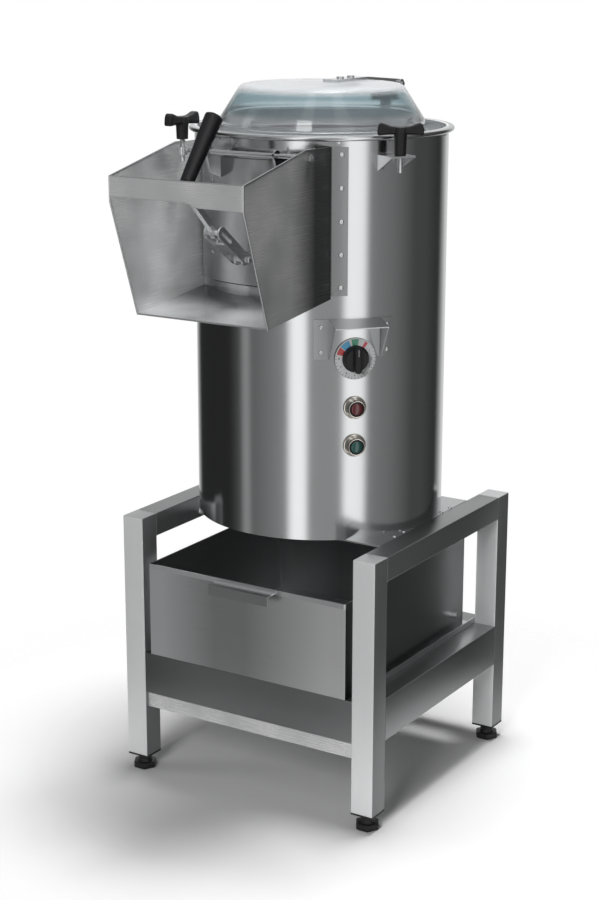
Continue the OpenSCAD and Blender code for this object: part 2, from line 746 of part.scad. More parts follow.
module lever_grip() color([0.04, 0.04, 0.04]) at_axis() translate([0, lever_p[0], lever_p[1]])
    rotate([grip_a - 90, 0, 0]) difference() {
        translate([0, 0, grip_start]) union() {
            cylinder(r1 = grip_r * 0.74, r2 = grip_r, h = grip_len - 5, $fn = 8);
            translate([0, 0, grip_len - 5]) cylinder(r1 = grip_r, r2 = grip_r * 0.72, h = 5, $fn = 8);
        }
        translate([0, 0, grip_start - 1]) cylinder(r = tang_r + seat, h = 42);
    }

// Toggle link: two slotted side plates joined by a web, turning on the pin of the door's ears;
// the lever's pin rides just inside the two plates
slot_len = 26;
web_from = 38;
module link_plate() {
    difference() {
        union() {
            circle(r = 10, $fn = 48);
            translate([link_len, 0]) circle(r = link_end_r, $fn = 48);
            polygon([[0, -10], [link_len, -link_end_r], [link_len, link_end_r], [0, 10]]);
        }
        translate([link_len, 0]) circle(r = pin_r + run, $fn = 48);
        circle(r = 3, $fn = 48);
        translate([0, -3]) square([slot_len, 6]);
        translate([slot_len, 0]) circle(r = 3, $fn = 48);
    }
}
module toggle_link() color([0.5, 0.51, 0.52]) at_axis() {
    for (x = [-link_in - link_t, link_in]) side_plate(x, x + link_t)
        translate(link_p) rotate([0, 0, link_a]) link_plate();
    side_plate(-link_in, link_in) translate(link_p) rotate([0, 0, link_a])
        translate([link_len - web_from, 4.5]) square([web_from - 14, 2.5]);
}

// ---- lid -----------------------------------------------------------------------------------

// Clear dome: a skirt, a cone, a rounded shoulder and a flat top with a ring groove
lid_fillet = 15;
cone_a = atan2(lid_cone_h, lid_r - lid_top_r);
fillet_x = lid_top_r - lid_fillet * tan(cone_a / 2);
module lid_profile(inset) {
    polygon(concat(
        [[0, skirt_low - inset], [lid_r - inset, skirt_low - inset],
         [lid_r - inset, skirt_top + inset * tan(cone_a) * (1 - 1 / sin(cone_a))]],
        [for (i = [0 : 6]) let (a = 90 - cone_a + i / 6 * cone_a)
            [fillet_x + (lid_fillet - inset) * cos(a), lid_top - lid_fillet + (lid_fillet - inset) * sin(a)]],
        [[0, lid_top - inset]]));
}
module lid_dome() color([0.75, 0.85, 0.88, 0.5]) at_axis() difference() {
    rotate_extrude() lid_profile(0);
    rotate_extrude() lid_profile(lid_t);
    translate([0, 0, lid_top - 1]) rotate_extrude() translate([groove_r, 0]) square([3, 2]);
    for (y = bolt_y) translate([0, y, lid_top - lid_t - 1]) cylinder(r = bolt_r + seat, h = lid_t + 2);
}

groove_r = 36;
bolt_y = [58, 92];
bolt_r = 3;
module lid_strap() color([0.6, 0.61, 0.62]) at_axis() difference() {
    union() {
        side_plate(-strap_w / 2, strap_w / 2) polygon([[strap_y, strap_z], [strap_bend_y, strap_z],
            [hinge_y - 2, hinge_z + hinge_r - strap_t], [hinge_y, hinge_z + hinge_r],
            [strap_bend_y + 0.5, strap_z + strap_t], [strap_y, strap_z + strap_t]]);
        translate([0, hinge_y, hinge_z]) rotate([0, 90, 0])
            cylinder(r = hinge_r, h = strap_w, center = true);
    }
    translate([0, hinge_y, hinge_z]) rotate([0, 90, 0])
        cylinder(r = hinge_pin_r + run, h = strap_w + 2, center = true);
    for (y = bolt_y) translate([0, y, strap_z - 1]) cylinder(r = bolt_r + seat, h = strap_t + 2);
}

module lid_bolts() color([0.8, 0.8, 0.8]) at_axis() for (y = bolt_y) translate([0, y, 0]) {
    translate([0, 0, lid_top - lid_t - 5]) cylinder(r = bolt_r, h = lid_t + strap_t + 6);
    translate([0, 0, strap_z + strap_t]) cylinder(r = 6, h = 3);
    translate([0, 0, lid_top - lid_t - 5]) cylinder(r = 6, h = 5, $fn = 6);
}

// Bracket behind the rim: a spacer on the drum, a T-shaped plate, two ears and the hinge pin
lid_plate_y = drum_r + bead_out + 2.5;
lid_plate_t = 4;
lid_plate_w = 60;
lid_stem_w = 22;
lid_stem_low = rim_z - 82;
lid_wide_z = rim_z + 12;
lid_ear_in = strap_w / 2 + gap;
lid_ear_t = 4;
module lid_bracket() color([0.5, 0.51, 0.52]) at_axis() {
    difference() {
        translate([-lid_stem_w / 2, 0, lid_stem_low]) cube([lid_stem_w, lid_plate_y, 60]);
        cylinder(r = drum_r + seat, h = rim_z + 1, $fn = 144);
    }
    translate([-lid_stem_w / 2, lid_plate_y, lid_stem_low])
        cube([lid_stem_w, lid_plate_t, lid_wide_z - lid_stem_low]);
    translate([-lid_plate_w / 2, lid_plate_y, lid_wide_z])
        cube([lid_plate_w, lid_plate_t, hinge_z - hinge_r - 1 - lid_wide_z]);
    for (x = [-lid_ear_in - lid_ear_t, lid_ear_in]) side_plate(x, x + lid_ear_t) {
        translate([hinge_y, hinge_z]) circle(r = hinge_r, $fn = 48);
        polygon([[lid_plate_y + 1, lid_wide_z], [lid_plate_y + lid_plate_t, lid_wide_z],
            [hinge_y + hinge_r, hinge_z - 4], [hinge_y, hinge_z + hinge_r],
            [lid_plate_y + 1, hinge_z - hinge_r - 2]]);
    }
    translate([0, hinge_y, hinge_z]) rotate([0, 90, 0])
        cylinder(r = hinge_pin_r, h = 2 * (lid_ear_in + lid_ear_t) + 6, center = true);
}

// ---- clamps --------------------------------------------------------------------------------

clamp_half_w = 22;
clamp_reach = 38;
clamp_t = 3;
gusset_h = 25;
module clamp_brackets() color([0.6, 0.61, 0.62]) at_axis() {
    difference() {
        rotate([0, 0, clamp_a]) {
            translate([-clamp_half_w, -drum_r - clamp_reach, clamp_z - clamp_t])
                cube([2 * clamp_half_w, clamp_reach + 6, clamp_t]);
            for (x = [-clamp_half_w, clamp_half_w - clamp_t]) side_plate(x, x + clamp_t)
                polygon([[-drum_r - clamp_reach, clamp_z - clamp_t], [-drum_r + 6, clamp_z - clamp_t],
                    [-drum_r + 6, clamp_z - clamp_t - gusset_h]]);
        }
        cylinder(r = drum_r + seat, h = rim_z + 1, $fn = 144);
        rotate([0, 0, clamp_a]) translate([0, -drum_r - clamp_out, clamp_z - 10])
            cylinder(r = screw_r + run, h = 20);
    }
    difference() {
        union() {
            translate([left_clamp_x, left_clamp_y, rod_p[1] - 6]) cylinder(r = screw_r + 3.5, h = 12);
            translate([left_clamp_x - 5, left_clamp_y, rod_p[1] - 5]) cube([10, 6, 10]);
        }
        translate([left_clamp_x, left_clamp_y, rod_p[1] - 7]) cylinder(r = screw_r + run, h = 14);
        translate([0, rod_p[0], rod_p[1]]) rotate([0, 90, 0])
            cylinder(r = rod_r + seat, h = 4 * chute_half_w, center = true);
    }
}

// Wing knob on a screw; z = 0 is the underside of its stem
wing_h = 18;
wing_dip = 1.5;
wing_t = 14;
stem_left_h = 23;
stem_right_h = rim_z + 2 * gap + wing_dip - clamp_z - gap;
module wing_knob(stem_h, screw_len) {
    color([0.05, 0.05, 0.05]) {
        cylinder(r1 = 8.5, r2 = 10, h = stem_h);
        translate([0, wing_t / 2, stem_h]) rotate([90, 0, 0]) linear_extrude(height = wing_t)
            polygon([[-10, 0], [10, 0], [wing_w / 2 - 2, -wing_dip], [wing_w / 2, 0],
                [wing_w / 2 - 3, wing_h], [12, wing_h - 6], [-12, wing_h - 6],
                [-wing_w / 2 + 3, wing_h], [-wing_w / 2, 0], [-wing_w / 2 + 2, -wing_dip]]);
    }
    color([0.8, 0.8, 0.8]) translate([0, 0, -screw_len]) cylinder(r = screw_r, h = screw_len);
}
module clamp_knob_left() at_axis()
    translate([left_clamp_x, left_clamp_y, rod_p[1] + 18]) rotate([0, 0, 85])
        wing_knob(stem_left_h, 34);
module clamp_knob_right() at_axis()
    rotate([0, 0, clamp_a]) translate([0, -drum_r - clamp_out, clamp_z + gap])
        rotate([0, 0, 32 - clamp_a]) wing_knob(stem_right_h, 26);

// ---- controls ------------------------------------------------------------------------------

// Guard over the dial: a top plate, two tapered cheeks and two flanges on the drum
module dial_hood() color([0.72, 0.73, 0.74]) at_axis() difference() {
    hood_a = asin(hood_w / 2 / drum_r);
    union() {
        rotate([0, 0, panel_a]) {
            side_plate(-hood_w / 2, hood_w / 2) polygon([[-drum_r - hood_out, hood_top - hood_drop],
                [-drum_r + 12, hood_top + 2], [-drum_r + 12, hood_top + 2 - hood_t],
                [-drum_r - hood_out, hood_top - hood_drop - hood_t]]);
            for (x = [-hood_w / 2, hood_w / 2 - hood_t]) side_plate(x, x + hood_t)
                polygon([[-drum_r - hood_out, hood_top - hood_drop - hood_t / 2],
                    [-drum_r + 12, hood_top + 2 - hood_t / 2], [-drum_r + 12, hood_top - hood_h],
                    [-drum_r - 1, hood_top - hood_h]]);
        }
        for (s = [-1, 1]) band(drum_r + seat, drum_r + seat + hood_t, hood_top - hood_h, hood_top,
            s > 0 ? panel_a + hood_a - 0.3 : panel_a - hood_a - 6,
            s > 0 ? panel_a + hood_a + 6 : panel_a - hood_a + 0.3);
    }
    cylinder(r = drum_r + seat, h = rim_z + 1, $fn = 144);
}

dial_t = 1.5;
dial_face = drum_r + seat + dial_t;
module dial_plate() color([0.9, 0.9, 0.92]) at_axis() outwards(panel_a, dial_z) difference() {
    translate([0, 0, drum_r + seat]) cylinder(r = dial_d / 2, h = dial_t);
    cylinder(r = 3.5, h = drum_r + 10);
}

// Round knob with a grip bar, on the timer's shaft
knob_h = 12;
bar_rise = 9;
timer_shaft_r = 3;
module timer_knob() color([0.05, 0.05, 0.06]) at_axis() outwards(panel_a, dial_z) {
    translate([0, 0, dial_face + gap]) {
        cylinder(r = knob_d / 2, h = knob_h);
        intersection() {
            translate([-5.5, -knob_d / 2, knob_h]) cube([11, knob_d, bar_rise]);
            cylinder(r = knob_d / 2 - 1, h = knob_h + bar_rise);
        }
    }
    translate([0, 0, inner_r - 14]) cylinder(r = timer_shaft_r, h = dial_face + gap - inner_r + 14);
}

module timer_body() color([0.85, 0.85, 0.82]) at_axis() outwards(panel_a, dial_z) difference() {
    union() {
        translate([-24, -24, inner_r - 44]) cube([48, 48, 38]);
        translate([0, 0, inner_r - 7]) cylinder(r = 10, h = 6.6);
    }
    translate([0, 0, inner_r - 16]) cylinder(r = timer_shaft_r + run, h = 20);
}

module bezel() difference() {
    rotate_extrude() polygon([[cap_d / 2 + run, -2], [bezel_d / 2, -2], [bezel_d / 2, 2.5],
        [bezel_d / 2 - 1, 4], [bezel_d / 2 - 4, bezel_h - 1.5], [bezel_d / 2 - 5, bezel_h],
        [cap_d / 2 + run, bezel_h]]);
}
module button_bezels() color([0.85, 0.84, 0.8]) at_axis() difference() {
    for (z = [red_z, green_z]) outwards(panel_a, z) translate([0, 0, drum_r]) bezel();
    cylinder(r = drum_r + seat, h = rim_z + 1, $fn = 144);
}

// Button cap with a stem into its switch block; it can travel in by button_travel
stem_r = 5;
module button_cap(z) at_axis() outwards(panel_a, z) {
    translate([0, 0, drum_r + button_travel + 2])
        cylinder(r = cap_d / 2, h = cap_out - button_travel - 2 - 3);
    translate([0, 0, drum_r + cap_out - 3])
        rotate_extrude() intersection() {
            translate([0, 3 - 24]) circle(r = 24, $fn = 96);
            square([cap_d / 2, 4]);
        }
    translate([0, 0, inner_r - 12]) cylinder(r = stem_r, h = button_travel + drum_wall + 15);
}
module stop_button() color([0.6, 0.05, 0.08]) button_cap(red_z);
module start_button() color([0.0, 0.5, 0.42]) button_cap(green_z);

module switch_blocks() color([0.15, 0.15, 0.16]) at_axis()
    for (z = [red_z, green_z]) outwards(panel_a, z) difference() {
        union() {
            translate([-15, -18, inner_r - 46]) cube([30, 36, 34]);
            translate([0, 0, inner_r - 12.5]) cylinder(r = 11, h = 13);
        }
        translate([0, 0, inner_r - 20]) cylinder(r = stem_r + run, h = 24);
    }

// ---- starch box ----------------------------------------------------------------------------

// Open box with a folded front lip, an L-shaped handle and a short overflow spout
module spout_at() {
    translate([box_w / 2, box_front + box_d - 42, box_z + 32]) rotate([0, 90, 0]) children();
}
module starch_box() color([0.6, 0.62, 0.63]) at_axis() {
    lip = 8;
    difference() {
        translate([-box_w / 2, box_front, box_z]) cube([box_w, box_d, box_h]);
        translate([-box_w / 2 + box_wall, box_front + box_wall, box_z + box_wall])
            cube([box_w - 2 * box_wall, box_d - 2 * box_wall, box_h]);
        spout_at() translate([0, 0, -5]) cylinder(r = spout_r - 1.5, h = 10);
    }
    translate([-box_w / 2 + 2, box_front - 1.5, box_z + box_h - lip]) cube([box_w - 4, 1.5, lip]);
    translate([-box_handle_w / 2, box_front - 20, box_z + box_h - 9]) cube([box_handle_w, 20, 2]);
    translate([-box_handle_w / 2, box_front - 20, box_z + box_h - 24]) cube([box_handle_w, 2, 15]);
    difference() {
        spout_at() cylinder(r = spout_r, h = spout_len);
        spout_at() translate([0, 0, -1]) cylinder(r = spout_r - 1.5, h = spout_len + 2);
    }
}

// ---- drawing -------------------------------------------------------------------------------

posts();
top_rails();
front_rail();
rear_rail();
left_rail();
right_rail();
front_strip();
cross_members();
base_plate();
plate_screws();
post_plugs();
foot_front_left();
foot_front_right();
foot_rear_left();
foot_rear_right();
box_runners();
drum_shell();
rim_ring();
chamber_floor();
abrasive_lining();
bearing_housing();
main_shaft();
abrasive_disc();
big_pulley();
motor();
motor_stand();
motor_pulley();
v_belt();
pulp_pipe();
water_inlet();
cable_gland();
chute_walls();
chute_floor();
chute_bar();
chute_screws();
door_rod();
door_seal();
discharge_door();
door_liner();
door_ears();
lever_bracket();
lever_arm();
lever_grip();
toggle_link();
lid_dome();
lid_strap();
lid_bolts();
lid_bracket();
clamp_brackets();
clamp_knob_left();
clamp_knob_right();
dial_hood();
dial_plate();
timer_knob();
timer_body();
button_bezels();
stop_button();
start_button();
switch_blocks();
starch_box();
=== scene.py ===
"""Electric potato peeler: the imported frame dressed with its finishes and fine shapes."""

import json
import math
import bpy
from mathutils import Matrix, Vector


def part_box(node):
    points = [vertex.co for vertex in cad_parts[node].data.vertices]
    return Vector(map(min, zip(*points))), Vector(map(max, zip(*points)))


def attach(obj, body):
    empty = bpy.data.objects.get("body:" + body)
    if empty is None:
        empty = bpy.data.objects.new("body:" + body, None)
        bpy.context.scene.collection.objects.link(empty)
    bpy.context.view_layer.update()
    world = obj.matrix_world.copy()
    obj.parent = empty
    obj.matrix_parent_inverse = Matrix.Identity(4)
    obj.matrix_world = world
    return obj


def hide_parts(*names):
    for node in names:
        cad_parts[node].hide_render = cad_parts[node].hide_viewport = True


bl_info = {
    "name": "Potato peeler dressing",
    "version": (1, 0, 0),
    "blender": (4, 5, 0),
    "location": "View3D > Sidebar > Peeler",
    "description": "Builds the visible pieces and finishes of a drum potato peeler",
    "category": "Object",
}

import bmesh
import bpy
import numpy as np
from bpy.props import FloatProperty, FloatVectorProperty, PointerProperty
from mathutils import Matrix

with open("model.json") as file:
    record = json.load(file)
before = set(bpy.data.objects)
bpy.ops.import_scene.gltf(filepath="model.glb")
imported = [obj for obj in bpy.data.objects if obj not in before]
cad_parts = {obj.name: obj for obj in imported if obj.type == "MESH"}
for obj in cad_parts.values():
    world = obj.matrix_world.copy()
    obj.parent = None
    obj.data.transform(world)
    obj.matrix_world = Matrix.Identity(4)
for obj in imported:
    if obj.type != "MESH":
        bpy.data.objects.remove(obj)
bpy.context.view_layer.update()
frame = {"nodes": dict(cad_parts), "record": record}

MM = 0.001
TAU = 2 * math.pi


def span(node):
    """A node's box as two arrays."""
    lo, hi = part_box(node)
    return np.array(lo), np.array(hi)


# Sizes that the CAD frame itself gives
DRUM_LO, DRUM_HI = span("drum_shell")
DRUM_R = float(DRUM_HI[0] - DRUM_LO[0]) / 2
AXIS_Y = float(DRUM_HI[1] + DRUM_LO[1]) / 2
DECK = float(DRUM_LO[2])
RIM_Z = float(span("rim_ring")[1][2])

# Sizes that the CAD source has too: tube, drum wall, chamber, chute, panel and port
TUBE = 40 * MM
DRUM_WALL = 1.5 * MM
FLOOR_Z = RIM_Z - 259 * MM
CHUTE_TOP = RIM_Z - 16 * MM
PANEL_A = 46.5
DIAL_Z = RIM_Z - 346 * MM
RED_Z = RIM_Z - 425 * MM
GREEN_Z = RIM_Z - 486.5 * MM
PORT_HALF = 70 * MM
PORT_LOW = FLOOR_Z + 31 * MM
PORT_HIGH = PORT_LOW + 140 * MM

# Points closer than this are one point
MERGE = 0.002 * MM
# Radius of the tubes' rolled corners
TUBE_CORNER = 1.6 * MM


# ---- shapes worked out on grids ----


def round_points(t, radius, height):
    """Points round the drum's axis, by angles in radians from -Y towards +X."""
    t, radius, height = np.broadcast_arrays(t, radius, height)
    return np.stack([radius * np.sin(t), AXIS_Y - radius * np.cos(t), height], -1)


def polar(angle, radius, height):
    """The point at an angle in degrees round the drum, from -Y towards +X."""
    return round_points(math.radians(angle), radius, height)


def axes(x, y, z, at):
    """A place as a 4 by 4 matrix, from its three local directions and its origin."""
    m = np.eye(4)
    m[:3, 0], m[:3, 1], m[:3, 2], m[:3, 3] = x, y, z, at
    return m


def outwards(angle, height, radius=0.0):
    """Local x runs along the drum's skin, y goes up and z points out of the drum."""
    c, s = math.cos(math.radians(angle)), math.sin(math.radians(angle))
    return axes((c, s, 0), (0, 0, 1), (s, -c, 0), polar(angle, radius, height))


def standing(x, y, z, turn=0.0):
    """Local z goes up from a point, with local x turned about it by some degrees."""
    c, s = math.cos(math.radians(turn)), math.sin(math.radians(turn))
    return axes((c, s, 0), (-s, c, 0), (0, 0, 1), (x, y, z))


def soften(corners, radius, steps=4):
    """Rounds each corner of a closed outline: a curve that leaves one edge and joins the next."""
    p = np.asarray(corners, float)
    before, after = np.roll(p, 1, 0) - p, np.roll(p, -1, 0) - p
    lb, la = np.linalg.norm(before, axis=1), np.linalg.norm(after, axis=1)
    reach = np.minimum(radius, 0.45 * np.minimum(lb, la))[:, None]
    a, c = p + before / lb[:, None] * reach, p + after / la[:, None] * reach
    t = np.linspace(0, 1, steps + 1)[None, :, None]
    curve = (1 - t) ** 2 * a[:, None] + 2 * t * (1 - t) * p[:, None] + t**2 * c[:, None]
    return curve.reshape(-1, 2)


def unit(vectors):
    """Rows of vectors, each made one long."""
    return vectors / np.maximum(np.linalg.norm(vectors, axis=1), 1e-12)[:, None]


def inset(loop, amount):
    """Moves a closed outline inwards: each point goes along the mean of its two edge normals."""
    ahead = unit(np.roll(loop, -1, 0) - loop) + unit(loop - np.roll(loop, 1, 0))
    normal = np.stack([-ahead[:, 1], ahead[:, 0]], 1)
    normal = normal / np.maximum((normal**2).sum(1) / 2, 0.3)[:, None]
    x, y = loop[:, 0], loop[:, 1]
    turns = np.sum(x * np.roll(y, -1) - np.roll(x, -1) * y)
    return loop + normal * amount * (1 if turns > 0 else -1)


def rectangle(w, h):
    """The four corners of a width and a height about the middle."""
    return np.array([[-w, -h], [w, -h], [w, h], [-w, h]]) / 2


class Skin:
    """Collects surfaces worked out on grids, and makes them one closed mesh."""

    def __init__(self):
        self.points, self.faces, self.count = [], [], 0

    def grid(self, p, wrap_u=False, wrap_v=False, keep=None):
        """Joins a grid of points (rows, columns, 3) with four-sided faces: all, or the ones to keep."""
        nu, nv = p.shape[:2]
        i = self.count + np.arange(nu * nv).reshape(nu, nv)
        if wrap_u:
            i = np.vstack([i, i[:1]])
        if wrap_v:
            i = np.hstack([i, i[:, :1]])
        quads = np.stack([i[:-1, :-1], i[1:, :-1], i[1:, 1:], i[:-1, 1:]], -1)
        self.points.append(p.reshape(-1, 3))
        self.faces += (quads.reshape(-1, 4) if keep is None else quads[keep]).tolist()
        self.count += nu * nv
        return self

    def cap(self, loop):
        """Closes a loop of points with one flat face."""
        self.points.append(loop)
        self.faces.append(list(range(self.count, self.count + len(loop))))
        self.count += len(loop)
        return self

    def tube(self, rings):
        """Rings of points joined in turn, with a flat face on the first and on the last."""
        return self.grid(rings, wrap_v=True).cap(rings[0]).cap(rings[-1])

    def revolve(self, profile, place, turns=64, closed=False):
        """A profile (radius, height) turned about local z."""
        pr = np.asarray(profile, float)
        a = np.linspace(0, TAU, turns, endpoint=False)
        p = np.stack([pr[:, 0, None] * np.cos(a), pr[:, 0, None] * np.sin(a),
                      pr[:, 1, None] + 0 * a], -1)
        return self.grid(moved(p, place), wrap_u=closed, wrap_v=True)

    def prism(self, outline, low, high, edge, place):
        """An outline carried from low to high; near each end it shrinks along a quarter circle of edge."""
        t = np.linspace(0, math.pi / 2, 4)
        back, rise = edge * (1 - np.sin(t)), edge * (1 - np.cos(t))
        back, rise = np.r_[back, back[::-1]], np.r_[low + rise, high - rise[::-1]]
        rings = np.stack([np.c_[inset(outline, b), np.full(len(outline), z)]
                          for b, z in zip(back, rise)])
        return self.tube(moved(rings, place))

    def box(self, lo, hi, axis, corner, edge):
        """A bar with rounded long corners between two opposite corners of a box."""
        lo, hi = np.asarray(lo, float), np.asarray(hi, float)
        mid, size = (lo + hi) / 2, hi - lo
        order = {"x": [1, 2, 0], "y": [2, 0, 1], "z": [0, 1, 2]}[axis]
        u, v, w = size[order]
        place = axes(*np.eye(3)[order], mid)
        return self.prism(soften(rectangle(u, v), corner), -w / 2, w / 2, edge, place)

    def thread(self, radius, depth, pitch, low, high, place, turns=20):
        """A screw thread: the radius falls and rises with height less the share of a turn."""
        z = np.linspace(low, high, max(int((high - low) / pitch * 6), 4))
        a = np.linspace(0, TAU, turns, endpoint=False)
        phase = (z[:, None] / pitch - a[None, :] / TAU) % 1
        r = radius - depth * np.abs(2 * phase - 1)
        p = np.stack([r * np.cos(a), r * np.sin(a), z[:, None] + 0 * a], -1)
        return self.tube(moved(p, place))

    def pipe(self, path, radius, sides=10):
        """A round section carried along a path, square to it at each point."""
        path = np.asarray(path, float)
        ahead = unit(np.gradient(path, axis=0))
        ref = np.where(np.abs(ahead[:, 2:3]) > 0.9, [[1.0, 0, 0]], [[0, 0, 1.0]])
        x = unit(np.cross(ahead, ref))
        y = np.cross(ahead, x)
        a = np.linspace(0, TAU, sides, endpoint=False)
        return self.tube(path[:, None] + radius * (x[:, None] * np.cos(a)[:, None]
                                                   + y[:, None] * np.sin(a)[:, None]))

    def make(self, name, crease=32):
        """All that was collected, as one mesh object."""
        mesh = bpy.data.meshes.new(name)
        mesh.from_pydata(np.vstack(self.points).tolist(), [], self.faces)
        return finish_mesh(name, mesh, crease)


def moved(points, place):
    """Applies a place, a 4 by 4 matrix, to an array of points."""
    return points @ place[:3, :3].T + place[:3, 3]


def linked(name, data):
    """A new object in the scene for a mesh, a lamp, a camera or text."""
    obj = bpy.data.objects.new(name, data)
    bpy.context.scene.collection.objects.link(obj)
    return obj


def finish_mesh(name, mesh, crease):
    """Merges doubles, turns normals outwards and shades smooth apart from edges above crease degrees."""
    work = bmesh.new()
    work.from_mesh(mesh)
    bmesh.ops.remove_doubles(work, verts=work.verts, dist=MERGE)
    bmesh.ops.dissolve_degenerate(work, edges=work.edges, dist=1e-7)
    bmesh.ops.recalc_face_normals(work, faces=work.faces)
    work.to_mesh(mesh)
    work.free()
    mesh.shade_smooth()
    mesh.set_sharp_from_angle(angle=math.radians(crease))
    return linked(name, mesh)


def straightened(mesh):
    """Turns the corners of large flat faces straight out where the rounded edges have bent them.

    Large is above 2 square centimetres, and bent is by more than 4.5 degrees.
    """
    turned, flat = np.zeros(len(mesh.loops) * 3), np.zeros(len(mesh.polygons) * 3)
    area, corners = np.zeros(len(mesh.polygons)), np.zeros(len(mesh.polygons), np.int32)
    mesh.corner_normals.foreach_get("vector", turned)
    mesh.polygons.foreach_get("normal", flat)
    mesh.polygons.foreach_get("area", area)
    mesh.polygons.foreach_get("loop_total", corners)
    owner = np.repeat(np.arange(len(mesh.polygons)), corners)
    turned, flat = turned.reshape(-1, 3), flat.reshape(-1, 3)[owner]
    bent = (area[owner] > 2e-4) & ((turned * flat).sum(axis=1) < math.cos(math.radians(4.5)))
    mesh.normals_split_custom_set(np.where(bent[:, None], flat, turned).tolist())
    return mesh


def evaluated_mesh(obj):
    """The mesh that an object has once its modifiers or its text are worked out."""
    bpy.context.view_layer.update()
    return bpy.data.meshes.new_from_object(obj.evaluated_get(bpy.context.evaluated_depsgraph_get()))


def dress(node, edge, finish, crease=32):
    """Puts a CAD solid's own shape in its node's place, its sharp edges rounded by edge in mm."""
    work = bmesh.new()
    work.from_mesh(frame["nodes"][node].data)
    bmesh.ops.remove_doubles(work, verts=work.verts, dist=MERGE)
    bmesh.ops.dissolve_limit(work, angle_limit=math.radians(0.5), verts=work.verts, edges=work.edges)
    mesh = bpy.data.meshes.new(node + "_shape")
    work.to_mesh(mesh)
    work.free()
    obj = finish_mesh(node + "_shape", mesh, crease)
    if edge:
        soft = obj.modifiers.new("Edges", "BEVEL")
        soft.width = edge * MM
        soft.segments = 2
        soft.limit_method = "ANGLE"
        soft.angle_limit = math.radians(28)
        soft.harden_normals = True
        mesh = evaluated_mesh(obj)
        obj.modifiers.clear()
        obj.data = straightened(mesh)
    stand_for(obj, node, finish)


BODY_OF = {n: b for b, ns in frame["record"]["behaviour"]["bodies"].items() for n in ns}


def trim_piece(obj, body, finish):
    """A piece with its finish that rides on a body, in a slot."""
    obj.data.materials.clear()
    obj.data.materials.append(FINISHES[finish])
    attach(obj, body)


def stand_for(obj, node, finish):
    """Puts a piece in a CAD node's place: on the same body, with its finish, and hides the node."""
    trim_piece(obj, BODY_OF[node], finish)
    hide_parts(node)


# ---- finishes ----


class Wire:
    """A socket that can be used in a sum; each sign adds a Math node."""

    def __init__(self, tree, socket):
        self.tree, self.socket = tree, socket

    def sum(self, kind, *values, clamp=False):
        """A Math node of one kind, fed with wires or plain numbers."""
        node = self.tree.nodes.new("ShaderNodeMath")
        node.operation, node.use_clamp = kind, clamp
        for value, target in zip(values, node.inputs):
            connect(self.tree, value, target)
        return Wire(self.tree, node.outputs[0])

    def __add__(self, other):
        return self.sum("ADD", self, other)

    __radd__ = __add__

    def __sub__(self, other):
        return self.sum("SUBTRACT", self, other)

    def __rsub__(self, other):
        return self.sum("SUBTRACT", other, self)

    def __mul__(self, other):
        return self.sum("MULTIPLY", self, other)

    __rmul__ = __mul__

    def __truediv__(self, other):
        return self.sum("DIVIDE", self, other)

    def __gt__(self, other):
        return self.sum("GREATER_THAN", self, other)

    def __lt__(self, other):
        return self.sum("LESS_THAN", self, other)

    def __abs__(self):
        return self.sum("ABSOLUTE", self)

    def __mod__(self, other):
        return self.sum("FLOORED_MODULO", self, other)

    def clipped(self):
        """Kept between 0 and 1."""
        return self.sum("ADD", self, 0.0, clamp=True)


def connect(tree, value, target):
    """Links a wire to a socket, or writes a plain value on it."""
    if isinstance(value, Wire):
        tree.links.new(value.socket, target)
    else:
        target.default_value = value


class Tree:
    """Adds nodes to one node tree: numbers go on the sockets, worked-out values are linked."""

    def __init__(self, tree):
        self.tree = tree

    def node(self, kind, settings=(), out=0, **inputs):
        """A shader node: its settings first, then its sockets by name or, as in0, by number."""
        node = self.tree.nodes.new("ShaderNode" + kind)
        for key, value in dict(settings).items():
            setattr(node, key, value)
        for key, value in inputs.items():
            name = int(key[2:]) if key[2:].isdigit() else key.replace("_", " ")
            connect(self.tree, value, node.inputs[name])
        return Wire(self.tree, node.outputs[out])

    def parts(self, vector):
        """The three numbers of a vector, as wires."""
        node = self.tree.nodes.new("ShaderNodeSeparateXYZ")
        connect(self.tree, vector, node.inputs[0])
        return [Wire(self.tree, s) for s in node.outputs]

    def angle(self, across, ahead):
        """The angle in radians whose tangent is across over ahead."""
        return self.node("Math", {"operation": "ARCTAN2"}, in0=across, in1=ahead)

    def length(self, a, b):
        """The square root of the sum of two squares."""
        return self.node("Math", {"operation": "SQRT"}, in0=a * a + b * b)


class Finish(Tree):
    """A node material built round its Principled shader."""

    def __init__(self, name, **sockets):
        self.material = bpy.data.materials.new(name)
        self.material.use_nodes = True
        super().__init__(self.material.node_tree)
        self.shader = self.tree.nodes["Principled BSDF"]
        self.surface = Wire(self.tree, self.shader.outputs[0])
        self.set(**sockets)

    def set(self, **sockets):
        """Feeds sockets of the Principled shader, by name."""
        for key, value in sockets.items():
            connect(self.tree, value, self.shader.inputs[key.replace("_", " ")])
        return self

    def place(self):
        """Object coordinates as three wires."""
        return self.parts(self.node("TexCoord", out="Object"))

    def noise(self, x, y, z, scale, detail=2.0, rough=0.5):
        """Noise of a place, each coordinate already stretched as wanted."""
        vector = self.node("CombineXYZ", X=x, Y=y, Z=z)
        return self.node("TexNoise", Vector=vector, Scale=scale, Detail=detail, Roughness=rough)

    def bump(self, height, strength, distance):
        """Tilts the normals by a height's slope."""
        self.set(Normal=self.node("Bump", Height=height, Strength=strength, Distance=distance))
        return self

    def between(self, share, low, high):
        """A colour between two, by a share."""
        return self.node("Mix", {"data_type": "RGBA"}, out=2, in0=share, in6=rgba(low), in7=rgba(high))

    def over(self, share, shader):
        """Lays another shader over the finish so far, by a share."""
        self.surface = self.node("MixShader", in0=share, in1=self.surface, in2=shader)
        connect(self.tree, self.surface, self.tree.nodes["Material Output"].inputs[0])
        return self


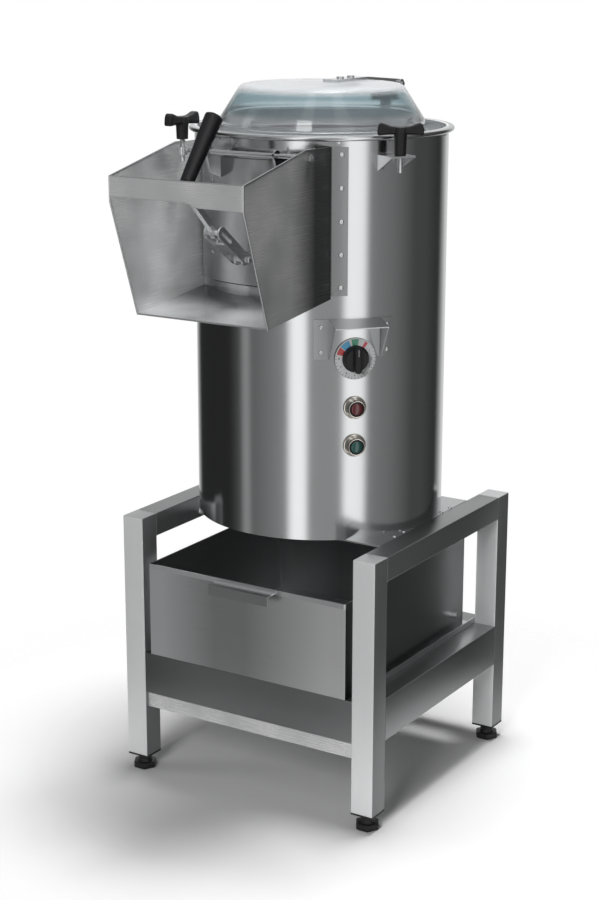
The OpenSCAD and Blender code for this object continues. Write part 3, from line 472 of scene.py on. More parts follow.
def rgba(colour):
    """A colour as a socket takes it: a wire, or three numbers and a one."""
    return (*colour[:3], 1.0) if not isinstance(colour, Wire) else colour


def scaled(tint, share):
    """A tint made lighter or darker."""
    return tuple(min(c * share, 1) for c in tint)


def brushed(name, tint, roughness, grain, spread=0.1, round_drum=False, metal=1.0, patchy=0.0, painted_shading=()):
    """Satin steel: fine noise lines that run along the axis with the small grain number.

    Patchy adds soft cloudy places to its tint. Each painted shade is painted light or shade laid on the tint:
    a coordinate or a direction that the face looks in, where it starts and ends, and the share that the tint
    falls or rises to on the way.
    """
    f = Finish(name, Metallic=metal)
    x, y, z = f.place()
    if round_drum:
        lines = f.noise(f.angle(x, y - AXIS_Y) * grain[0], z * grain[2], 0.0, 1.0, 3.0, 0.6)
    else:
        lines = f.noise(x * grain[0], y * grain[1], z * grain[2], 1.0, 3.0, 0.6)
    clouds = f.noise(x, y, z, 9.0)
    share = (lines - 0.5) * (0.75 / (1 + 4 * patchy)) + (clouds - 0.5) * (0.25 + patchy) + 0.5
    tone = f.between(share.clipped(), scaled(tint, 1 - spread), scaled(tint, 1 + spread))
    facing = f.parts(f.node("TexCoord", out="Normal"))
    # wall: along y, with the chute's right wall, beyond x of 116 mm, set apart by a step of 9
    along = {"x": x, "y": y, "side": facing[0], "up": facing[2], "wall": (x > 116 * MM) * 9 + y}
    # painted light and shade: the tint ramps to a lighter or darker share along a coordinate or a facing
    for axis, start, end, share in painted_shading:
        ramp = ((along[axis] - start) / (end - start)).clipped()
        tone = f.between(ramp, tone, scaled(tint, share))
    if round_drum:
        # inside the drum the tint is painted lighter, a painted light on the inner wall, and the steel is
        # made less metallic so the lamps light it
        within = f.length(x, y - AXIS_Y) < DRUM_R - 0.6 * MM
        tone = f.between(within, tone, scaled(tint, 1.1))
        f.set(Metallic=1 - within * 0.45)
    f.set(Base_Color=tone, Roughness=(lines - 0.5) * 0.1 + (clouds - 0.5) * 0.06 + roughness)
    return f.bump(lines, 0.08 if metal == 1 else 0.02, 0.0002).material


def moulded(name, tint, roughness, grain=900.0, strength=0.12):
    """Moulded plastic or rubber: a fine spark-eroded grain and slight unevenness of gloss."""
    f = Finish(name, IOR=1.36)
    x, y, z = f.place()
    fine = f.noise(x, y, z, grain)
    cloud = f.noise(x, y, z, 35.0)
    f.set(Base_Color=f.between(cloud, scaled(tint, 0.8), scaled(tint, 1.25)),
          Roughness=(cloud - 0.5) * 0.14 + roughness)
    return f.bump(fine, strength, 0.0002).material


def gritty(name, tint):
    """Abrasive face: coarse grit with pale grains, and a groove every thirty degrees."""
    f = Finish(name, Roughness=0.9)
    x, y, z = f.place()
    grit = f.noise(x, y, z, 420.0, 4.0, 0.7)
    turn = f.angle(x, y - AXIS_Y) / TAU
    groove = abs((turn * 12 + 0.5) % 1.0 - 0.5) < 0.012
    pale = ((grit - 0.58) * 9.0).clipped()
    f.set(Base_Color=f.between(pale * 0.6 * (1 - groove), tint, (0.42, 0.42, 0.44)))
    return f.bump(grit * (1 - groove) - groove, 0.9, 0.0012).material


def clear_lid(name, tint):
    """Clear sheet by its height: plain at the hem, tinted up the cone and frosted on the flat top."""
    f = Finish(name, Transmission_Weight=1.0, IOR=1.46)
    x, y, z = f.place()
    cloud = f.noise(x, y, z, 12.0)
    rise = z - RIM_Z
    cone = ((rise - 16 * MM) / (8 * MM)).clipped() * ((56 * MM - rise) / (5 * MM)).clipped()
    f.set(Base_Color=f.between(cone, (0.86, 0.875, 0.88), tint), Roughness=cloud * 0.06 + 0.03)
    top = ((rise - 52 * MM) / (10 * MM)).clipped() * 0.5
    frost = (0.46, 0.47, 0.48, 1)
    milk = f.node("MixShader", in0=0.5, in1=f.node("BsdfDiffuse", Color=frost),
                  in2=f.node("BsdfTranslucent", Color=frost))
    f.over((top + cloud * 0.04 + 0.02).clipped(), milk)
    # light on its way to a lamp passes straight through, so the drum is lit through the lid
    f.over(f.node("LightPath", out="Is Shadow Ray") * 0.8, f.node("BsdfTransparent"))
    return f.bump(cloud, 0.03, 0.002).material


def glowing_lens(name, tint):
    """Clear coloured button cap with fine cells inside."""
    f = Finish(name, Coat_Weight=0.6, Coat_Roughness=0.05)
    x, y, z = f.place()
    cells = f.noise(x, y, z, 600.0, 1.0)
    f.set(Base_Color=f.between(cells, scaled(tint, 0.6), scaled(tint, 1.5)), Roughness=cells * 0.1 + 0.15)
    return f.bump(cells, 0.15, 0.0003).material


# Painted wedges of the dial: from and to as shares of a turn, inner and outer radius, colour
DIAL_WEDGES = (
    (0.79, 0.855, 0.62, 0.93, (0.55, 0.04, 0.04)),
    (0.86, 0.945, 0.62, 0.93, (0.1, 0.42, 0.68)),
    (0.965, 0.03, 0.62, 0.93, (0.06, 0.33, 0.2)),
    (0.085, 0.115, 0.62, 0.93, (0.62, 0.08, 0.1)),
)


def dial_print(name):
    """The dial's print, on the piece's own map: a rim, ticks, and coloured wedges by the angle."""
    f = Finish(name, Coat_Weight=0.3)
    u, v = (w - 0.5 for w in f.parts(f.node("TexCoord", out="UV"))[:2])
    r = f.length(u, v) * 2
    turn = (f.angle(u, v) / TAU) % 1.0

    def sector(a, b, r1, r2):
        """1 between two shares of a turn, clockwise from the top, and two radii."""
        width = (b - a) % 1.0
        return (((turn - a) % 1.0) < width) * (r > r1) * (r < r2)

    tick = abs((turn * 36 + 0.5) % 1.0 - 0.5) < 0.07
    ticks = tick * (r > 0.9) * (r < 0.97) * (1 - sector(0.80, 0.16, 0, 2))
    paint = f.between(ticks, (0.78, 0.79, 0.8), (0.03, 0.03, 0.03))
    for wedge in DIAL_WEDGES:
        paint = f.between(sector(*wedge[:4]), paint, wedge[4])
    paint = f.between(r > 0.985, paint, (0.3, 0.3, 0.3))
    x, y, z = f.place()
    speck = f.noise(x, y, z, 300.0)
    return f.set(Base_Color=paint, Roughness=speck * 0.1 + 0.25).material


FINISHES = {}

# Grain of brushed steel: stretch of the noise along x, y and z, small along the lines
ALONG_X = (8, 1600, 1600)
ALONG_Y = (1600, 8, 1600)
ALONG_Z = (1600, 1600, 8)
ROUND = (6, 0, 2600)
EVEN = (500, 500, 500)


def make_finishes(steel):
    """One finish for each kind of surface on the machine."""
    s = tuple(steel)
    front = span("starch_box")[0][1] + 20 * MM
    FINISHES.update({
        "drum": brushed("drum steel", s, 0.15, ROUND, round_drum=True, spread=0.06),
        "rim": brushed("rim steel", s, 0.2, (6, 0, 1800), round_drum=True),
        # painted shade: the chute's right wall darkens towards the drum, and its flange beyond x of 121.5 mm
        # is painted a flat share of 0.45
        "chute": brushed("chute steel", scaled(s, 1.5), 0.26, ALONG_Y, spread=0.3, metal=0.4,
                         patchy=1.8, painted_shading=(("wall", 8.8, 8.87, 0.12), ("x", 0.1215, 0.1225, 0.45))),
        # painted shade: the chute's floor darkens towards the drum, under the door
        "chute_base": brushed("chute floor steel", scaled(s, 1.3), 0.2, ALONG_Y, spread=0.3,
                              metal=0.75, patchy=1.8, painted_shading=(("y", -0.2, -0.14, 0.3),)),
        "bar": brushed("bar steel", scaled(s, 1.6), 0.26, ALONG_X, spread=0.25, metal=0.6,
                       patchy=1.8),
        "satin": brushed("satin steel", scaled(s, 1.35), 0.24, EVEN, metal=0.82),
        "door": brushed("door steel", scaled(s, 0.95), 0.17, ROUND, round_drum=True),
        # painted shade: the posts' faces that look along +X and their tops are painted darker than their
        # fronts
        "post": brushed("post steel", scaled(s, 1.8), 0.36, ALONG_Z, metal=0.35,
                        painted_shading=(("side", 0.3, 0.9, 0.25), ("up", 0.3, 0.9, 0.4))),
        # painted light and shade: the box front is painted lighter towards both ends as a painted reflection,
        # its right side darker, its lip lighter as a painted highlight and its handle darker as painted shade
        "box": brushed("box steel", scaled(s, 0.8), 0.3, ALONG_X, spread=0.12,
                       painted_shading=(("x", -0.06, -0.165, 1.9), ("x", 0.0, 0.16, 2.3), ("side", 0.3, 0.9, 0.6),
                               ("y", front - 0.4 * MM, front - 0.8 * MM, 1.8),
                               ("y", front - 8 * MM, front - 9 * MM, 0.9))),
        # painted shade: the top rails' upward faces are painted darker than their sides
        "top_rail": brushed("top rail steel", s, 0.32, ALONG_Y, painted_shading=(("up", 0.3, 0.9, 0.5),)),
        # painted shade: the lower rails are the same steel painted darker, standing in for the dark floor
        # they reflect
        "rail_x_painted_dark": brushed("front rail steel", scaled(s, 0.5), 0.32, ALONG_X),
        "rail_y_painted_dark": brushed("side rail steel", scaled(s, 0.75), 0.32, ALONG_Y),
        "hood": brushed("guard steel", scaled(s, 0.85), 0.32, ALONG_Z),
        "sheet_up": brushed("sheet brushed upright", s, 0.28, ALONG_Z),
        "sheet_x": brushed("sheet brushed across", s, 0.34, ALONG_X),
        "sheet_y": brushed("sheet brushed along", s, 0.36, ALONG_Y),
        "bright": brushed("turned steel", scaled(s, 1.2), 0.2, EVEN, spread=0.05),
        "cast": brushed("cast iron", (0.12, 0.12, 0.125), 0.6, (300, 300, 300), spread=0.3),
        "paint": moulded("motor paint", (0.07, 0.1, 0.14), 0.45, 600),
        "black": moulded("black plastic", (0.018, 0.018, 0.019), 0.42),
        "grip": moulded("grip plastic", (0.008, 0.008, 0.009), 0.2, 500, 0.05),
        "rubber": moulded("black rubber", (0.02, 0.02, 0.02), 0.7),
        "pale": moulded("pale plastic", (0.7, 0.69, 0.64), 0.4),
        "grit": gritty("abrasive face", (0.12, 0.12, 0.13)),
        "lid": clear_lid("clear lid sheet", (0.47, 0.58, 0.61)),
        "bezel": brushed("bezel plating", (0.66, 0.62, 0.56), 0.16, (400, 400, 400), spread=0.04),
        "red": glowing_lens("red lens", (0.13, 0.002, 0.006)),
        "green": glowing_lens("green lens", (0.0, 0.09, 0.075)),
        "ink": moulded("dial ink", (0.02, 0.02, 0.02), 0.5),
        "white": moulded("white mark", (0.5, 0.5, 0.5), 0.5),
        "dial": dial_print("dial print"),
    })


# ---- pieces ----


def build_stand():
    """Square tubes with rounded corners between welded joints."""
    lo, hi = span("posts")
    posts = Skin()
    for x in (lo[0], hi[0] - TUBE):
        for y in (lo[1], hi[1] - TUBE):
            posts.box((x, y, lo[2]), (x + TUBE, y + TUBE, hi[2]), "z", TUBE_CORNER, 1.2 * MM)
    stand_for(posts.make("post_tubes"), "posts", "post")
    tops = Skin()
    lo, hi = span("top_rails")
    for x in (lo[0], hi[0] - TUBE):
        tops.box((x, lo[1], lo[2]), (x + TUBE, hi[1], hi[2]), "y", TUBE_CORNER, 0.1 * MM)
    stand_for(tops.make("top_rail_tubes"), "top_rails", "top_rail")
    for node, axis, finish in (("front_rail", "x", "rail_x_painted_dark"), ("rear_rail", "x", "rail_x_painted_dark"),
                               ("left_rail", "y", "rail_y_painted_dark"), ("right_rail", "y", "rail_y_painted_dark")):
        rail = Skin().box(*span(node), axis, TUBE_CORNER, 0.1 * MM)
        stand_for(rail.make(node + "_tube"), node, finish)
    dress("front_strip", 1.0, "bar")
    dress("cross_members", 1.0, "sheet_x")
    dress("base_plate", 0.6, "sheet_x")
    dress("box_runners", 0.4, "sheet_y")


def build_feet():
    """Plastic post plugs, and levelling feet with a hexagonal base on a round neck."""
    dress("post_plugs", 0.8, "black")
    for name in ("front_left", "front_right", "rear_left", "rear_right"):
        node = "foot_" + name
        lo, hi = span(node)
        x, y = (lo[0] + hi[0]) / 2, (lo[1] + hi[1]) / 2
        here = standing(x, y, 0)
        a = np.arange(6) / 6 * TAU
        hexagon = np.c_[np.cos(a), np.sin(a)] * (hi[0] - lo[0]) / 2
        foot = Skin().prism(soften(hexagon, 3 * MM), 0, 11 * MM, 1.6 * MM, here)
        foot.revolve(np.array([[0, 10], [13, 10], [12.6, 12], [11.7, 13.5], [11.2, 18], [11.7, 24.0],
                               [11, 25.0], [0, 25.0]]) * MM, here, 40)
        foot.thread(5 * MM, 0.5 * MM, 1.5 * MM, 24 * MM, hi[2], here)
        stand_for(foot.make(node + "_shape"), node, "black")


def wall_grid(skin, radii, heights, half_a, window):
    """The drum's wall: columns round the axis and rows up it, with the window's cells left out.

    Its inner and outer skin are joined along both ends and round the window.
    """
    angles = np.radians(np.unique(np.r_[np.linspace(-180, 180, 193), -half_a, half_a]))[:-1]
    zs = np.unique(np.r_[heights, window])
    half, both, near = math.radians(half_a), np.array(radii)[:, None], 1e-6
    across = np.abs(angles + math.radians(0.4)) < half
    up = (zs[:-1] >= window[0] - near) & (zs[1:] <= window[1] + near)
    for r in radii:
        skin.grid(round_points(angles[:, None], r, zs), wrap_u=True, keep=~(across[:, None] & up))
    for z in (zs[0], zs[-1]):
        skin.grid(round_points(angles, both, z), wrap_v=True)
    for z in window:
        skin.grid(round_points(angles[np.abs(angles) <= half + near], both, z))
    for a in (-half, half):
        skin.grid(round_points(a, both, zs[(zs >= window[0] - near) & (zs <= window[1] + near)]))


def build_drum():
    """The rolled drum wall, its rim bead, its seam and the tacks on its rim."""
    half_a = math.degrees(math.asin(PORT_HALF / DRUM_R))
    shell = Skin()
    wall_grid(shell, (DRUM_R - DRUM_WALL, DRUM_R), np.linspace(DECK, RIM_Z - 8 * MM, 9), half_a,
              (PORT_LOW, PORT_HIGH))
    stand_for(shell.make("drum_wall"), "drum_shell", "drum")
    axis = standing(0, AXIS_Y, RIM_Z)
    t = np.linspace(-0.5 * math.pi, 0.5 * math.pi, 13)
    bead = np.c_[211.4 + 4.15 * np.cos(t), -4.0 + 4.0 * np.sin(t)]
    loop = np.vstack([[[202.2, -7.6], [202.6, -8.0]], bead, [[202.9, 0.0], [202.2, -0.5]]]) * MM
    rim = Skin().revolve(loop, axis, 192, closed=True)
    stand_for(rim.make("rim_bead", 50), "rim_ring", "rim")
    seam = Skin().box(polar(180, DRUM_R, DECK + 2 * MM) - (1.5 * MM, 0.1 * MM, 0),
                      polar(180, DRUM_R, RIM_Z - 84 * MM) + (1.5 * MM, 0.35 * MM, 0), "z", 0.2 * MM, 0.1 * MM)
    trim_piece(seam.make("drum_seam"), "machine", "bright")
    lug = Skin()
    for a in (-56, -20, 38, 62, 104):
        lug.prism(soften(rectangle(9 * MM, 4 * MM), 1.2 * MM), 0.2 * MM, 2.4 * MM, 0.5 * MM,
                  outwards(a, RIM_Z - 10.6 * MM, DRUM_R))
    trim_piece(lug.make("rim_tacks"), "machine", "rim")


def heads(skin, places, radius, height):
    """Domed screw heads with a round recess; local z points out of the work."""
    t = np.linspace(0, 1, 6)
    dome = np.c_[radius * np.cos(t * math.pi / 2 * 0.92), height * (0.25 + 0.75 * np.sin(t * math.pi / 2))]
    keep = dome[dome[:, 0] > radius * 0.38]
    recess = np.array([[radius * 0.36, height * 0.95], [radius * 0.33, height * 0.45], [0, height * 0.4]])
    profile = np.vstack([[[0, 0], [radius, 0]], keep, recess])
    for m in places:
        skin.revolve(profile, m, 20)
    return skin


def build_chute():
    """Chute sheets with folded hems, the flanges' screws, and the door rod."""
    dress("chute_walls", 0.5, "chute")
    dress("chute_floor", 0.5, "chute_base")
    dress("chute_bar", 0.5, "bar")
    dress("door_rod", 0.4, "bright")
    dress("lever_bracket", 0.5, "bright")
    lo, hi = span("chute_bar")
    hem_r = 1.45 * MM
    front, low_y, low_z = lo[1] + hem_r, AXIS_Y - 346 * MM, FLOOR_Z - 11.5 * MM
    hem = Skin()
    for x in (-119.4 * MM, 119.4 * MM):
        # the hem follows the wall's top edge, its front edge and its lower front corner
        path = np.array([[x, AXIS_Y - 215 * MM, CHUTE_TOP], [x, AXIS_Y - 241 * MM, CHUTE_TOP],
                         [x, front, lo[2] + 37 * MM], [x, front, lo[2]], [x, low_y, low_z]])
        for a, b in zip(path[:-1], path[1:]):
            hem.pipe(np.linspace(a, b, 3), hem_r)
    trim_piece(hem.make("chute_hems"), "machine", "sheet_up")
    # one bead along the bar's top edge, and one along the floor's front edge
    lip = Skin()
    for left, right, y, z, radius in ((lo[0], hi[0], front + 0.1 * MM, hi[2], 1.5 * MM),
                                      (-118 * MM, 118 * MM, low_y, low_z + 1 * MM, 1.4 * MM)):
        lip.pipe(np.linspace((left, y, z), (right, y, z), 4), radius)
    trim_piece(lip.make("chute_lips"), "machine", "bright")
    lo, hi = span("chute_screws")
    rows = np.linspace(lo[2] + 3.6 * MM, hi[2] - 3.6 * MM, 5)
    places = [outwards(angle, z, DRUM_R + 2.4 * MM) for angle in (-39.9, 39.9) for z in rows]
    stand_for(heads(Skin(), places, 3.9 * MM, 2.2 * MM).make("chute_screw_heads"), "chute_screws", "bright")
    # the plate's screws stand at shares of its depth; the left ones stay behind its cut corner
    lo, hi = span("plate_screws")
    depth = float(np.diff([c[1] for c in span("base_plate")])[0])
    spots = [standing(x, AXIS_Y + share * depth, lo[2])
             for x, shares in ((hi[0] - 3 * MM, (-0.316, -0.215, 0.215, 0.316)),
                               (lo[0] + 3 * MM, (0.215, 0.316))) for share in shares]
    stand_for(heads(Skin(), spots, 3.2 * MM, 2.0 * MM).make("plate_screw_heads"), "plate_screws", "bright")


def build_door():
    """The curved door with its ears, and the link and arm of the toggle."""
    dress("discharge_door", 0.45, "door", 40)
    dress("door_ears", 0.5, "satin", 40)
    dress("toggle_link", 0.6, "satin", 40)
    dress("lever_arm", 0.7, "satin", 40)


LEVER_P = np.array([0, AXIS_Y - 386 * MM, RIM_Z - 66 * MM])
GRIP_A = math.radians(51.3)


def build_grip():
    """Eight-sided grip that widens evenly from its foot and ends in a rounded tip."""
    ahead = np.array([0, math.cos(GRIP_A), math.sin(GRIP_A)])
    place = axes((1, 0, 0), np.cross(ahead, (1, 0, 0)), ahead, LEVER_P)
    foot, shoulder = np.array([10, 11.2]), np.array([124.5, 15.2])
    t = np.linspace(0, 1, 12)[:, None]
    # the tip: a quarter of an ellipse from the shoulder in to the axis
    q = np.linspace(0, 0.94 * math.pi / 2, 7)[:, None]
    tip = shoulder + np.hstack([4.4 * np.sin(q), -shoulder[1] * (1 - np.cos(q)) ** 1.2])
    start = foot + (0.9, 0)
    profile = np.vstack([[[10, 7.5], [10, 10.4]], start + t * (shoulder - start), tip[1:]])
    a = (np.arange(8) + 0.5) / 8 * TAU
    section = soften(np.c_[np.cos(a), np.sin(a)], 0.24, 4)
    rings = np.stack([np.c_[section * r, np.full(len(section), s)] for s, r in profile]) * MM
    grip = Skin().tube(moved(rings, place))
    stand_for(grip.make("grip_shape", 24), "lever_grip", "grip")


def build_lid():
    """Clear dome turned from its profile, with a rolled hem, and its strap and hinge bracket."""
    top, cone, hem, wide, flat, bend, sheet = 65.0, 57.0, 8.0, 168.0, 131.0, 15.0, 4.0
    slope = math.atan2(cone, wide - flat)
    centre = flat - bend * math.tan(slope / 2)
    t = np.linspace(math.pi / 2 - slope, math.pi / 2, 9)[:, None]
    arc = np.hstack([np.cos(t), np.sin(t)])
    middle = np.array([centre, top - bend])
    # a ring groove is pressed into the flat top, as a short dip in the profile
    groove = np.array([[40, top], [38.6, top - 0.2], [37.5, top - 1], [36.4, top - 0.2], [35, top], [0, top]])
    outer = np.vstack([[[wide, 0.6], [wide, hem - 1.5], [wide - 0.8, hem + 1.0]],
                       middle + bend * arc, groove])
    inner = np.vstack([[[0, top - sheet]], middle + (bend - sheet) * arc[::-1],
                       [[wide - 3.6, hem - 2.2], [wide - 4, 0.6], [wide - 3.2, 0], [wide - 0.8, 0],
                        [wide, 0.6]]])
    dome = Skin().revolve(np.vstack([outer, inner]) * MM, standing(0, AXIS_Y, RIM_Z), 160)
    stand_for(dome.make("lid_sheet", 50), "lid_dome", "lid")
    dress("lid_strap", 0.8, "satin")
    dress("lid_bracket", 0.6, "sheet_up")
    dress("lid_bolts", 0.5, "bright")


def wing_shape(skin, place, base):
    """Bow-tie wings on a stem: the outline is one soft curve, carried across the grip."""
    half = np.array([[9.5, 0], [22, -0.4], [31, -1.4], [34.3, -1.2], [35.4, 1], [35.2, 8], [33.6, 15],
                     [30.5, 17.9], [26, 17.2], [19, 14.2], [12, 12.4], [5, 12.0]])
    outline = np.vstack([half, half[::-1] * (-1, 1)]) * MM
    upright = axes((1, 0, 0), (0, 0, 1), (0, -1, 0), (0, 0, base))
    skin.prism(soften(outline, 3 * MM), -6.8 * MM, 6.8 * MM, 2.6 * MM, place @ upright)


def build_clamps():
    """Wing knobs on threaded studs, and their brackets."""
    dress("clamp_brackets", 0.5, "satin")
    left = standing(-104 * MM, AXIS_Y - 243 * MM, RIM_Z - 10 * MM, 85)
    right = standing(*polar(62, 235.5 * MM, RIM_Z - 29.7 * MM), 32)
    # stem's height up to the wings, and the stud's reach below the knob, both in mm
    for node, place, stem, down in (("clamp_knob_left", left, 23, 34),
                                    ("clamp_knob_right", right, 31.8, 26)):
        profile = np.array([[0, 0], [8.2, 0], [9.0, 0.8], [9.2, 0.35 * stem], [9.6, 0.8 * stem],
                            [10.2, stem], [11, stem + 6], [9.5, stem + 11], [6, stem + 12], [0, stem + 12.2]])
        body = Skin().revolve(profile * MM, place, 40)
        wing_shape(body, place, stem * MM)
        stand_for(body.make(node + "_shape"), node, "black")
        stud = Skin().thread(3.95 * MM, 0.45 * MM, 1.25 * MM, -down * MM, 1 * MM, place)
        trim_piece(stud.make(node + "_stud"), BODY_OF[node], "bright")


def build_dial():
    """Dial plate with its print and plain numbers, the timer knob, and the guard with its screws."""
    m = outwards(PANEL_A, DIAL_Z, DRUM_R)
    r = 33.5 * MM
    profile = np.array([[0, 0.2], [33.0, 0.2], [33.5, 0.5], [33.4, 1.4], [33.0, 1.7], [0, 1.7]])
    obj = Skin().revolve(profile * MM, m, 96).make("dial_shape")
    # the print's map: the place across the dial, as a share of its width
    co = np.zeros(len(obj.data.vertices) * 3)
    obj.data.vertices.foreach_get("co", co)
    local = moved(co.reshape(-1, 3), np.linalg.inv(m))
    index = np.zeros(len(obj.data.loops), np.int32)
    obj.data.loops.foreach_get("vertex_index", index)
    uv = obj.data.uv_layers.new(name="dial")
    uv.data.foreach_set("uv", (local[index, :2] / (2 * r) + 0.5).ravel())
    stand_for(obj, "dial_plate", "dial")
    work = bmesh.new()
    for k in range(1, 9):
        a = math.radians(62 + (k - 1) * 30)
        curve = bpy.data.curves.new("digit", "FONT")
        curve.body, curve.size, curve.extrude = str(k), 5.2 * MM, 0.03 * MM
        curve.align_x, curve.align_y = "CENTER", "CENTER"
        flat = linked("digit", curve)
        mesh = evaluated_mesh(flat)
        bpy.data.objects.remove(flat)
        spot = standing(26.6 * MM * math.sin(a), 26.6 * MM * math.cos(a), 1.73 * MM)
        mesh.transform(Matrix((m @ spot).tolist()))
        work.from_mesh(mesh)
    joined = bpy.data.meshes.new("dial_numbers")
    work.to_mesh(joined)
    work.free()
    trim_piece(linked("dial_numbers", joined), "machine", "ink")
    # the knob: a shallow cone with a rolled foot and a rounded grip bar across it
    knob_m = outwards(PANEL_A, DIAL_Z, DRUM_R + 2.0 * MM)
    knob = Skin().revolve(np.array([[0, 0], [21.0, 0], [21.5, 0.6], [21.5, 2.2], [20.6, 3.2], [19.4, 3.6],
                                    [18.8, 10.4], [17.6, 11.8], [0, 12]]) * MM, knob_m, 72)
    bar = soften(rectangle(11 * MM, 41 * MM), 5.4 * MM, 6)
    knob.prism(bar, 11 * MM, 21 * MM, 2.2 * MM, knob_m)
    knob.revolve(np.array([[0, -20], [3, -20], [3, 0.2], [0, 0.2]]) * MM, knob_m, 24)
    stand_for(knob.make("timer_knob_shape"), "timer_knob", "black")
    line = Skin().prism(soften(rectangle(1.3 * MM, 11 * MM), 0.5 * MM), 20.8 * MM, 21.15 * MM, 0.1 * MM,
                        knob_m @ standing(0, 12.5 * MM, 0))
    trim_piece(line.make("timer_mark"), "timer", "white")
    dress("dial_hood", 0.5, "hood")
    hood_a = math.degrees(math.asin(43 * MM / DRUM_R)) + 3.0
    spots = [outwards(PANEL_A + s * hood_a, z, DRUM_R + 1.7 * MM) for s in (-1, 1)
             for z in (DIAL_Z + 11 * MM, DIAL_Z + 51 * MM)]
    screws = heads(Skin(), spots, 3.4 * MM, 1.8 * MM)
    trim_piece(screws.make("hood_screws"), "machine", "bright")


def build_buttons():
    """Turned bezels and domed caps."""
    bezels = Skin()
    for z in (RED_Z, GREEN_Z):
        m = outwards(PANEL_A, z, DRUM_R)
        bezels.revolve(np.array([[11.6, -0.4], [18.4, -0.4], [18.5, 2.0], [17.8, 3.2], [16.9, 3.6],
                                 [16.6, 4.6], [14.9, 11.6], [14.0, 13.8], [13.2, 14.9], [12.4, 15.0],
                                 [11.6, 14.2]]) * MM, m, 72, closed=True)
    stand_for(bezels.make("bezel_rings"), "button_bezels", "bezel")
    for node, z, finish in (("stop_button", RED_Z, "red"), ("start_button", GREEN_Z, "green")):
        m = outwards(PANEL_A, z, DRUM_R)
        t = np.linspace(0, 1, 7)
        dome = np.c_[9.8 * np.cos(t * math.pi / 2), 14.4 + 2.7 * np.sin(t * math.pi / 2)]
        cap = Skin().revolve(np.vstack([[[0, -13.5], [5, -13.5], [5, 6], [11.45, 6], [11.45, 13.2],
                                         [11.0, 14.0], [10.2, 14.2]], dome]) * MM, m, 64)
        stand_for(cap.make(node + "_cap"), node, finish)
        # a black collar between the bezel and the lens
        collar = Skin().revolve(np.array([[9.4, 14.5], [11.3, 13.9], [11.3, 14.7], [10.5, 15.4], [9.6, 15.2]])
                                * MM, m, 64, closed=True)
        trim_piece(collar.make(node + "_collar"), BODY_OF[node], "black")


def build_services():
    """Water spigot with its thread, and the cord's gland."""
    lo, hi = span("water_inlet")
    place = outwards(156, (lo[2] + hi[2]) / 2)
    dress("water_inlet", 0.4, "bright")
    thread = Skin().thread(10.8 * MM, 0.5 * MM, 1.8 * MM, DRUM_R + 8 * MM, DRUM_R + 33 * MM, place, 40)
    trim_piece(thread.make("inlet_thread"), "machine", "bright")
    dress("cable_gland", 0.6, "black")


def build_inside():
    """Hidden works and the chamber keep their CAD shapes, each with its own finish."""
    left = {"chamber_floor": "sheet_x", "abrasive_lining": "grit", "abrasive_disc": "grit",
            "door_liner": "grit", "bearing_housing": "cast", "main_shaft": "bright", "big_pulley": "cast",
            "motor": "paint", "motor_stand": "sheet_x", "motor_pulley": "cast", "v_belt": "rubber",
            "pulp_pipe": "bright", "door_seal": "rubber", "timer_body": "pale", "switch_blocks": "black"}
    for node, finish in left.items():
        dress(node, 0.5 if node != "v_belt" else 0, finish)


def soft_box(name, angle, distance, height, width, tall, power, tilt):
    """A soft light at an angle round the machine, turned towards it; steel sees the room instead."""
    lamp = bpy.data.lights.new(name, "AREA")
    lamp.shape, lamp.size, lamp.size_y, lamp.energy = "RECTANGLE", width, tall, power
    obj = linked(name, lamp)
    t = math.radians(angle)
    obj.location = (distance * math.sin(t), -distance * math.cos(t), height)
    obj.rotation_euler = (math.radians(90 - tilt), 0, t)
    obj.visible_glossy = False


# The studio as steel sees it: middle angle in degrees from -Y towards +X, half width, soft edge, level
STUDIO = (
    (32, 58, 70, 0.38),
    (10.5, 8.5, 5, 1.15),
    (62.5, 10.5, 6, 1.1),
    (-41.6, 4.5, 4, 0.28),
    (120, 35, 30, 0.06),
    (205, 28, 20, 0.75),
)


def build_world(light):
    """White to the camera and through glass; steel sees soft boxes, a dim room and the backdrop."""
    world = bpy.data.worlds.new("studio")
    bpy.context.scene.world = world
    world.use_nodes = True
    tree = Tree(world.node_tree)
    x, y, z = tree.parts(tree.node("TexCoord"))
    turn = tree.angle(x, y * -1) * (360 / TAU)
    room = 0.03
    for middle, half, soft, level in STUDIO:
        # the shorter way round from the middle of this stretch to the ray's own angle
        away = abs((turn - middle + 180) % 360.0 - 180)
        room = room + ((half - away) / soft + 0.5).clipped() * level
    room = room + ((z - 0.35) * 2.0).clipped() * 0.35
    camera, through, glossy = (tree.node("LightPath", out=f"Is {kind} Ray")
                               for kind in ("Camera", "Transmission", "Glossy"))
    seen = (camera + through).clipped()
    level = seen + (1 - seen) * (glossy * room + (1 - glossy) * light)
    background = world.node_tree.nodes["Background"].inputs
    connect(world.node_tree, level, background["Strength"])
    background["Color"].default_value = (1, 1, 1, 1)


def build_floor():
    """A pale round floor that fades out into the white surroundings."""
    a = np.linspace(0, TAU, 96, endpoint=False)
    rim = np.c_[1.0 * np.cos(a), AXIS_Y + 1.0 * np.sin(a), 0 * a - 0.0002]
    obj = Skin().cap(rim).make("studio_floor")
    f = Finish("studio floor", Roughness=0.9, Base_Color=(0.82, 0.82, 0.82, 1))
    x, y = f.place()[:2]
    away = f.length(x, y - AXIS_Y)
    # steel sees only the shaded middle of the floor, so its lower half stays dark
    glossy = f.node("LightPath", out="Is Glossy Ray")
    f.over(((away - 0.48) / 0.36 + glossy * 0.5).clipped(), f.node("BsdfTransparent"))
    obj.data.materials.append(f.material)
    # the floor is one open sheet, so its face is turned up by hand
    if obj.data.polygons[0].normal.z < 0:
        obj.data.flip_normals()


# The photograph's camera: its place, its turn about x, y and z in degrees, and its lens in mm
EYE = (1.587, -2.517, 1.366)
EYE_TURN = (90 - 14.959, -0.06, 32.096)
EYE_LENS = 74.2


